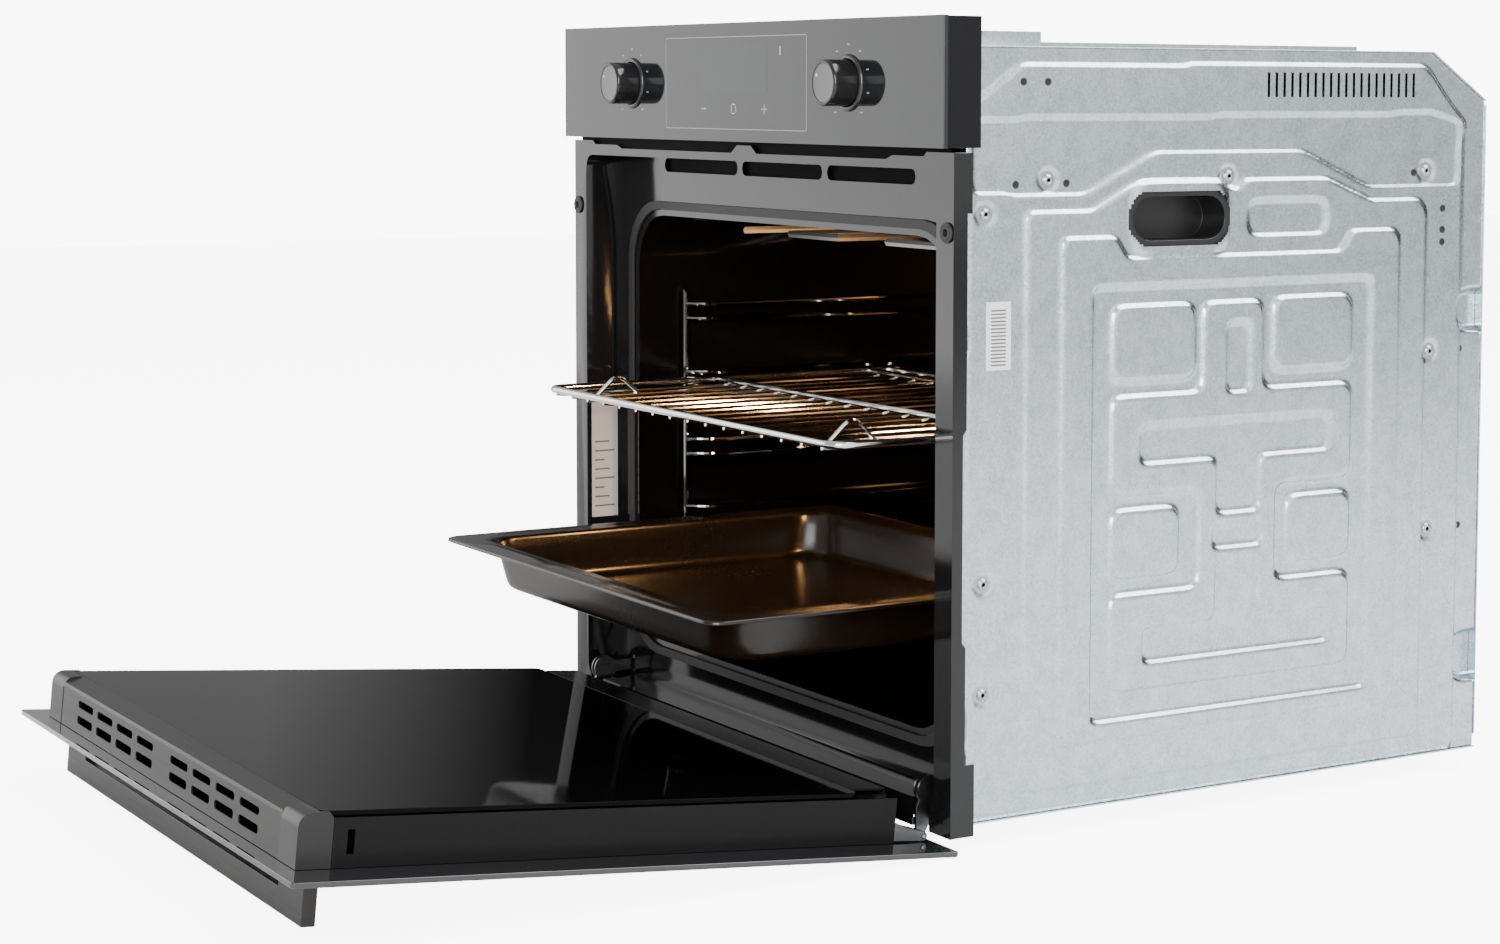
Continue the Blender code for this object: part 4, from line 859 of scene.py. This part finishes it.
printed("display_frame", hollow_box(111.5, 506.9, 579.2, 0.5), print_grey)
printed("display_window", [stroke(-52.0, 536.0, 52.0, 571.0)], window_dark)
minus = [stroke(-52.0, 522.5, -44.0, 523.5)]
plus = [stroke(44.0, 522.5, 52.0, 523.5), stroke(47.5, 519.0, 48.5, 527.0)]
square = [stroke(-4.0, 519.0, -3.0, 527.0), stroke(3.0, 519.0, 4.0, 527.0),
          stroke(-4.0, 519.0, 4.0, 520.0), stroke(-4.0, 526.0, 4.0, 527.0)]
printed("touch_marks", minus + plus + square, print_grey)
printed("status_mark", [stroke(71.4, 564.0, 72.6, 571.0)], mark_white)
TICK_RING = 28.0
ticks = []
for side in (-1, 1):
    for angle in np.radians([90, 55, 20, -15, -50, 125, 160, 195, 230]):
        x, z = side * KNOB_X + TICK_RING * np.cos(angle), KNOB_Z + TICK_RING * np.sin(angle)
        ticks.append(stroke(x - 1.6, z - 0.5, x + 1.6, z + 0.5))
printed("knob_ticks", ticks, print_grey)
print("panel marks printed")

# %% [markdown]
# ## Every other piece
# The rest keep the shape of their solids with softened edges. The width of the bevel follows
# what the piece is made of: sheet folds are small, mouldings larger, ground glass in between.

# %% Bevel widths in millimetres
BEVELS = {"front_frame": 0.5, "control_glass": 0.6, "control_box": 0.5, "door_outer_glass": 0.7,
          "door_inner_glass": 0.5, "door_middle_glass": 0.4, "door_top_trim": 0.4, "door_bottom_rail": 0.3,
          "door_handle": 0.6, "door_seal": 0.7, "top_cover": 0.3, "back_cover": 0.3, "base_pan": 0.3,
          "terminal_block": 0.8, "cavity_shell": 0.3, "fan_cover": 0.3, "lamp_glass": 0.8}
PAIR_BEVELS = {"door_cap_": 0.9, "door_side_rail_": 0.3, "hand_hold_": 0.6, "frame_bush_": 0.4,
               "hinge_catch_": 0.3, "hinge_arm_": 0.3, "hinge_body_": 0.3, "hinge_receiver_": 0.4}
for pair, width in PAIR_BEVELS.items():
    for label in ("left", "right"):
        BEVELS[pair + label] = width
print(len(BEVELS), "pieces get a bevel")

# %% Finishes of single pieces
control_grey = finish("control_glass", (0.010, 0.011, 0.012), 0.0, 0.05, ins={"Amount": 0.05}, bump=0.01)
cavity_black = finish("cavity_enamel", (0.002, 0.002, 0.002), 0.0, 0.12, ins={"Amount": 0.14},
                      Specular_IOR_Level=0.16)
lamp_glow = finish("lamp_glow", (0.9, 0.8, 0.62), 0.0, 0.25, ins={"Amount": 0.1},
                   Emission_Color=(1.0, 0.6, 0.25, 1.0), Emission_Strength=3.0)
box_black = finish("box_black", (0.006, 0.006, 0.007), 0.0, 0.16, ins={"Amount": 0.1},
                   Specular_IOR_Level=0.2)
hinge_steel = finish("hinge_steel", (0.16, 0.16, 0.165), 1.0, 0.3, ins={"Amount": 0.35}, bump=0.2)
OWN_FINISH = {"control_glass": control_grey, "control_box": box_black, "cavity_shell": cavity_black,
              "fan_cover": cavity_black, "lamp_glass": lamp_glow}
for part in ("hinge_arm_", "hinge_catch_", "hinge_body_"):
    for label in ("left", "right"):
        OWN_FINISH[part + label] = hinge_steel
print(len(OWN_FINISH), "pieces have a finish of their own")

# %% Softened copies of the remaining solids
shown_already = {row for made in bpy.data.objects for row in made.get("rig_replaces", [])}
for node in sorted(set(nodes) - shown_already):
    softened(node, BEVELS.get(node, 0.0), material=OWN_FINISH.get(node))
print(len(nodes) - len(shown_already), "softened copies")

# %% [markdown]
# ## Light, floor and camera
# Black glass and zinc show what stands round them. The room is bright on the side that the zinc
# sheet mirrors and dark where the open door's glass looks, and large soft lights stand above,
# to the left, behind and in front. A Light Path node in the room and the floor shows the camera
# a pale backdrop in place of that room. Two small warm lights stand for the oven's lamp: one by
# its glass, and one under the roof for what the enamel throws back. The camera stands to the
# right of the door, at the height of the knobs.

# %% Floor
floor_mesh = bpy.data.meshes.new("floor")
FLOOR_REACH, FLOOR_Z = 8.0, -0.0052
floor_corners = [(x * FLOOR_REACH, y * FLOOR_REACH, FLOOR_Z) for x, y in ((-1, -1), (1, -1), (1, 1), (-1, 1))]
floor_mesh.from_pydata(floor_corners, [], [(0, 1, 2, 3)])
floor = bpy.data.objects.new("floor", floor_mesh)
bpy.context.scene.collection.objects.link(floor)
BACKDROP = 9.0
floor_white = finish("floor_white", (0.8, 0.8, 0.8), 0.0, 0.8, None, Emission_Color=(1.0, 1.0, 1.0, 1.0))
tree = floor_white.node_tree
ray = joined(tree, "ShaderNodeLightPath")
glow = joined(tree, "ShaderNodeMath", [(0, ray.outputs["Is Camera Ray"])], operation="MULTIPLY")
glow.inputs[1].default_value = 0.8 * BACKDROP
tree.links.new(glow.outputs[0], tree.nodes["Principled BSDF"].inputs["Emission Strength"])
floor_mesh.materials.append(floor_white)
print("floor at", 1000 * FLOOR_Z, "mm")

# %% The room
world_sky = bpy.data.worlds.new("studio")
world_sky.use_nodes = True
bpy.context.scene.world = world_sky
tree = world_sky.node_tree
sky = tree.nodes["Background"]
where = joined(tree, "ShaderNodeTexCoord")
axes = joined(tree, "ShaderNodeSeparateXYZ", [("Vector", where.outputs["Generated"])])
SIDES_OF_ROOM = {"X": (0.5, 0.9, 0.0, 1.5), "Y": (0.45, 0.37, 0.0, 0.42), "Z": (0.1, 1.0, 0.015, 0.35)}
brightness = None
for axis, (near, far, low, high) in SIDES_OF_ROOM.items():
    wall = joined(tree, "ShaderNodeMapRange", [("Value", axes.outputs[axis])])
    for label, value in {"From Min": near, "From Max": far, "To Min": low, "To Max": high}.items():
        wall.inputs[label].default_value = value
    if brightness is None:
        brightness = wall
        continue
    both = [(0, brightness.outputs[0]), (1, wall.outputs[0])]
    brightness = joined(tree, "ShaderNodeMath", both, operation="ADD")
ray = joined(tree, "ShaderNodeLightPath")
seen = joined(tree, "ShaderNodeMix", [("Factor", ray.outputs["Is Camera Ray"]), (2, brightness.outputs[0])])
seen.inputs[3].default_value = BACKDROP
tree.links.new(seen.outputs[0], sky.inputs["Strength"])
sky.inputs["Color"].default_value = (1.0, 1.0, 1.0, 1.0)
print("room ready, with", len(SIDES_OF_ROOM), "gradients")


# %% Lights
def soft_light(name, at, aim, size, energy, colour=(1.0, 1.0, 1.0)):
    """A square area light at a place in metres, turned to look at the aim."""
    data = bpy.data.lights.new(name, "AREA")
    data.size = size
    data.energy = energy
    data.color = colour
    lamp = bpy.data.objects.new(name, data)
    lamp.location = at
    lamp.rotation_euler = (Vector(aim) - Vector(at)).to_track_quat("-Z", "Y").to_euler()
    lamp.visible_camera = False
    bpy.context.scene.collection.objects.link(lamp)
    return lamp


soft_light("overhead", (1.0, 1.4, 2.7), (0.28, 0.2, 0.3), 2.4, 150.0)
soft_light("front_left", (-2.7, -2.0, 0.9), (0.0, 0.0, 0.4), 2.4, 42.0)
soft_light("front_right", (2.9, -3.0, 1.4), (0.28, 0.1, 0.3), 2.2, 170.0)
soft_light("rear", (-1.6, 3.0, 2.2), (0.0, 0.3, 0.3), 1.5, 30.0)
soft_light("oven_lamp", (-0.185, 0.155, 0.385), (0.05, -0.3, 0.15), 0.06, 0.9, (1.0, 0.5, 0.18))
soft_light("oven_glow", (0.08, -0.13, 0.395), (-0.05, -0.22, 0.2), 0.05, 1.5, (1.0, 0.5, 0.18))
print(len(bpy.data.lights), "lights")

# %% Camera
yaw, pitch, roll = np.radians([58.07, 4.51, 0.19])
forward = np.array([-np.sin(yaw) * np.cos(pitch), np.cos(yaw) * np.cos(pitch), -np.sin(pitch)])
right = np.array([np.cos(yaw), np.sin(yaw), 0.0])
up = np.cross(right, forward)
right, up = np.cos(roll) * right + np.sin(roll) * up, np.cos(roll) * up - np.sin(roll) * right
camera_data = bpy.data.cameras.new("camera")
camera_data.sensor_width = 36.0
camera_data.lens = 69.8568
camera_data.shift_x = -0.0793
camera_data.shift_y = -0.1
camera = bpy.data.objects.new("camera", camera_data)
turn = Matrix((right.tolist(), up.tolist(), (-forward).tolist())).transposed()
camera.matrix_world = Matrix.Translation((1.98361, -1.38524, 0.53611)) @ turn.to_4x4()
bpy.context.scene.collection.objects.link(camera)
bpy.context.scene.camera = camera
print("camera at", [round(v, 3) for v in camera.location])
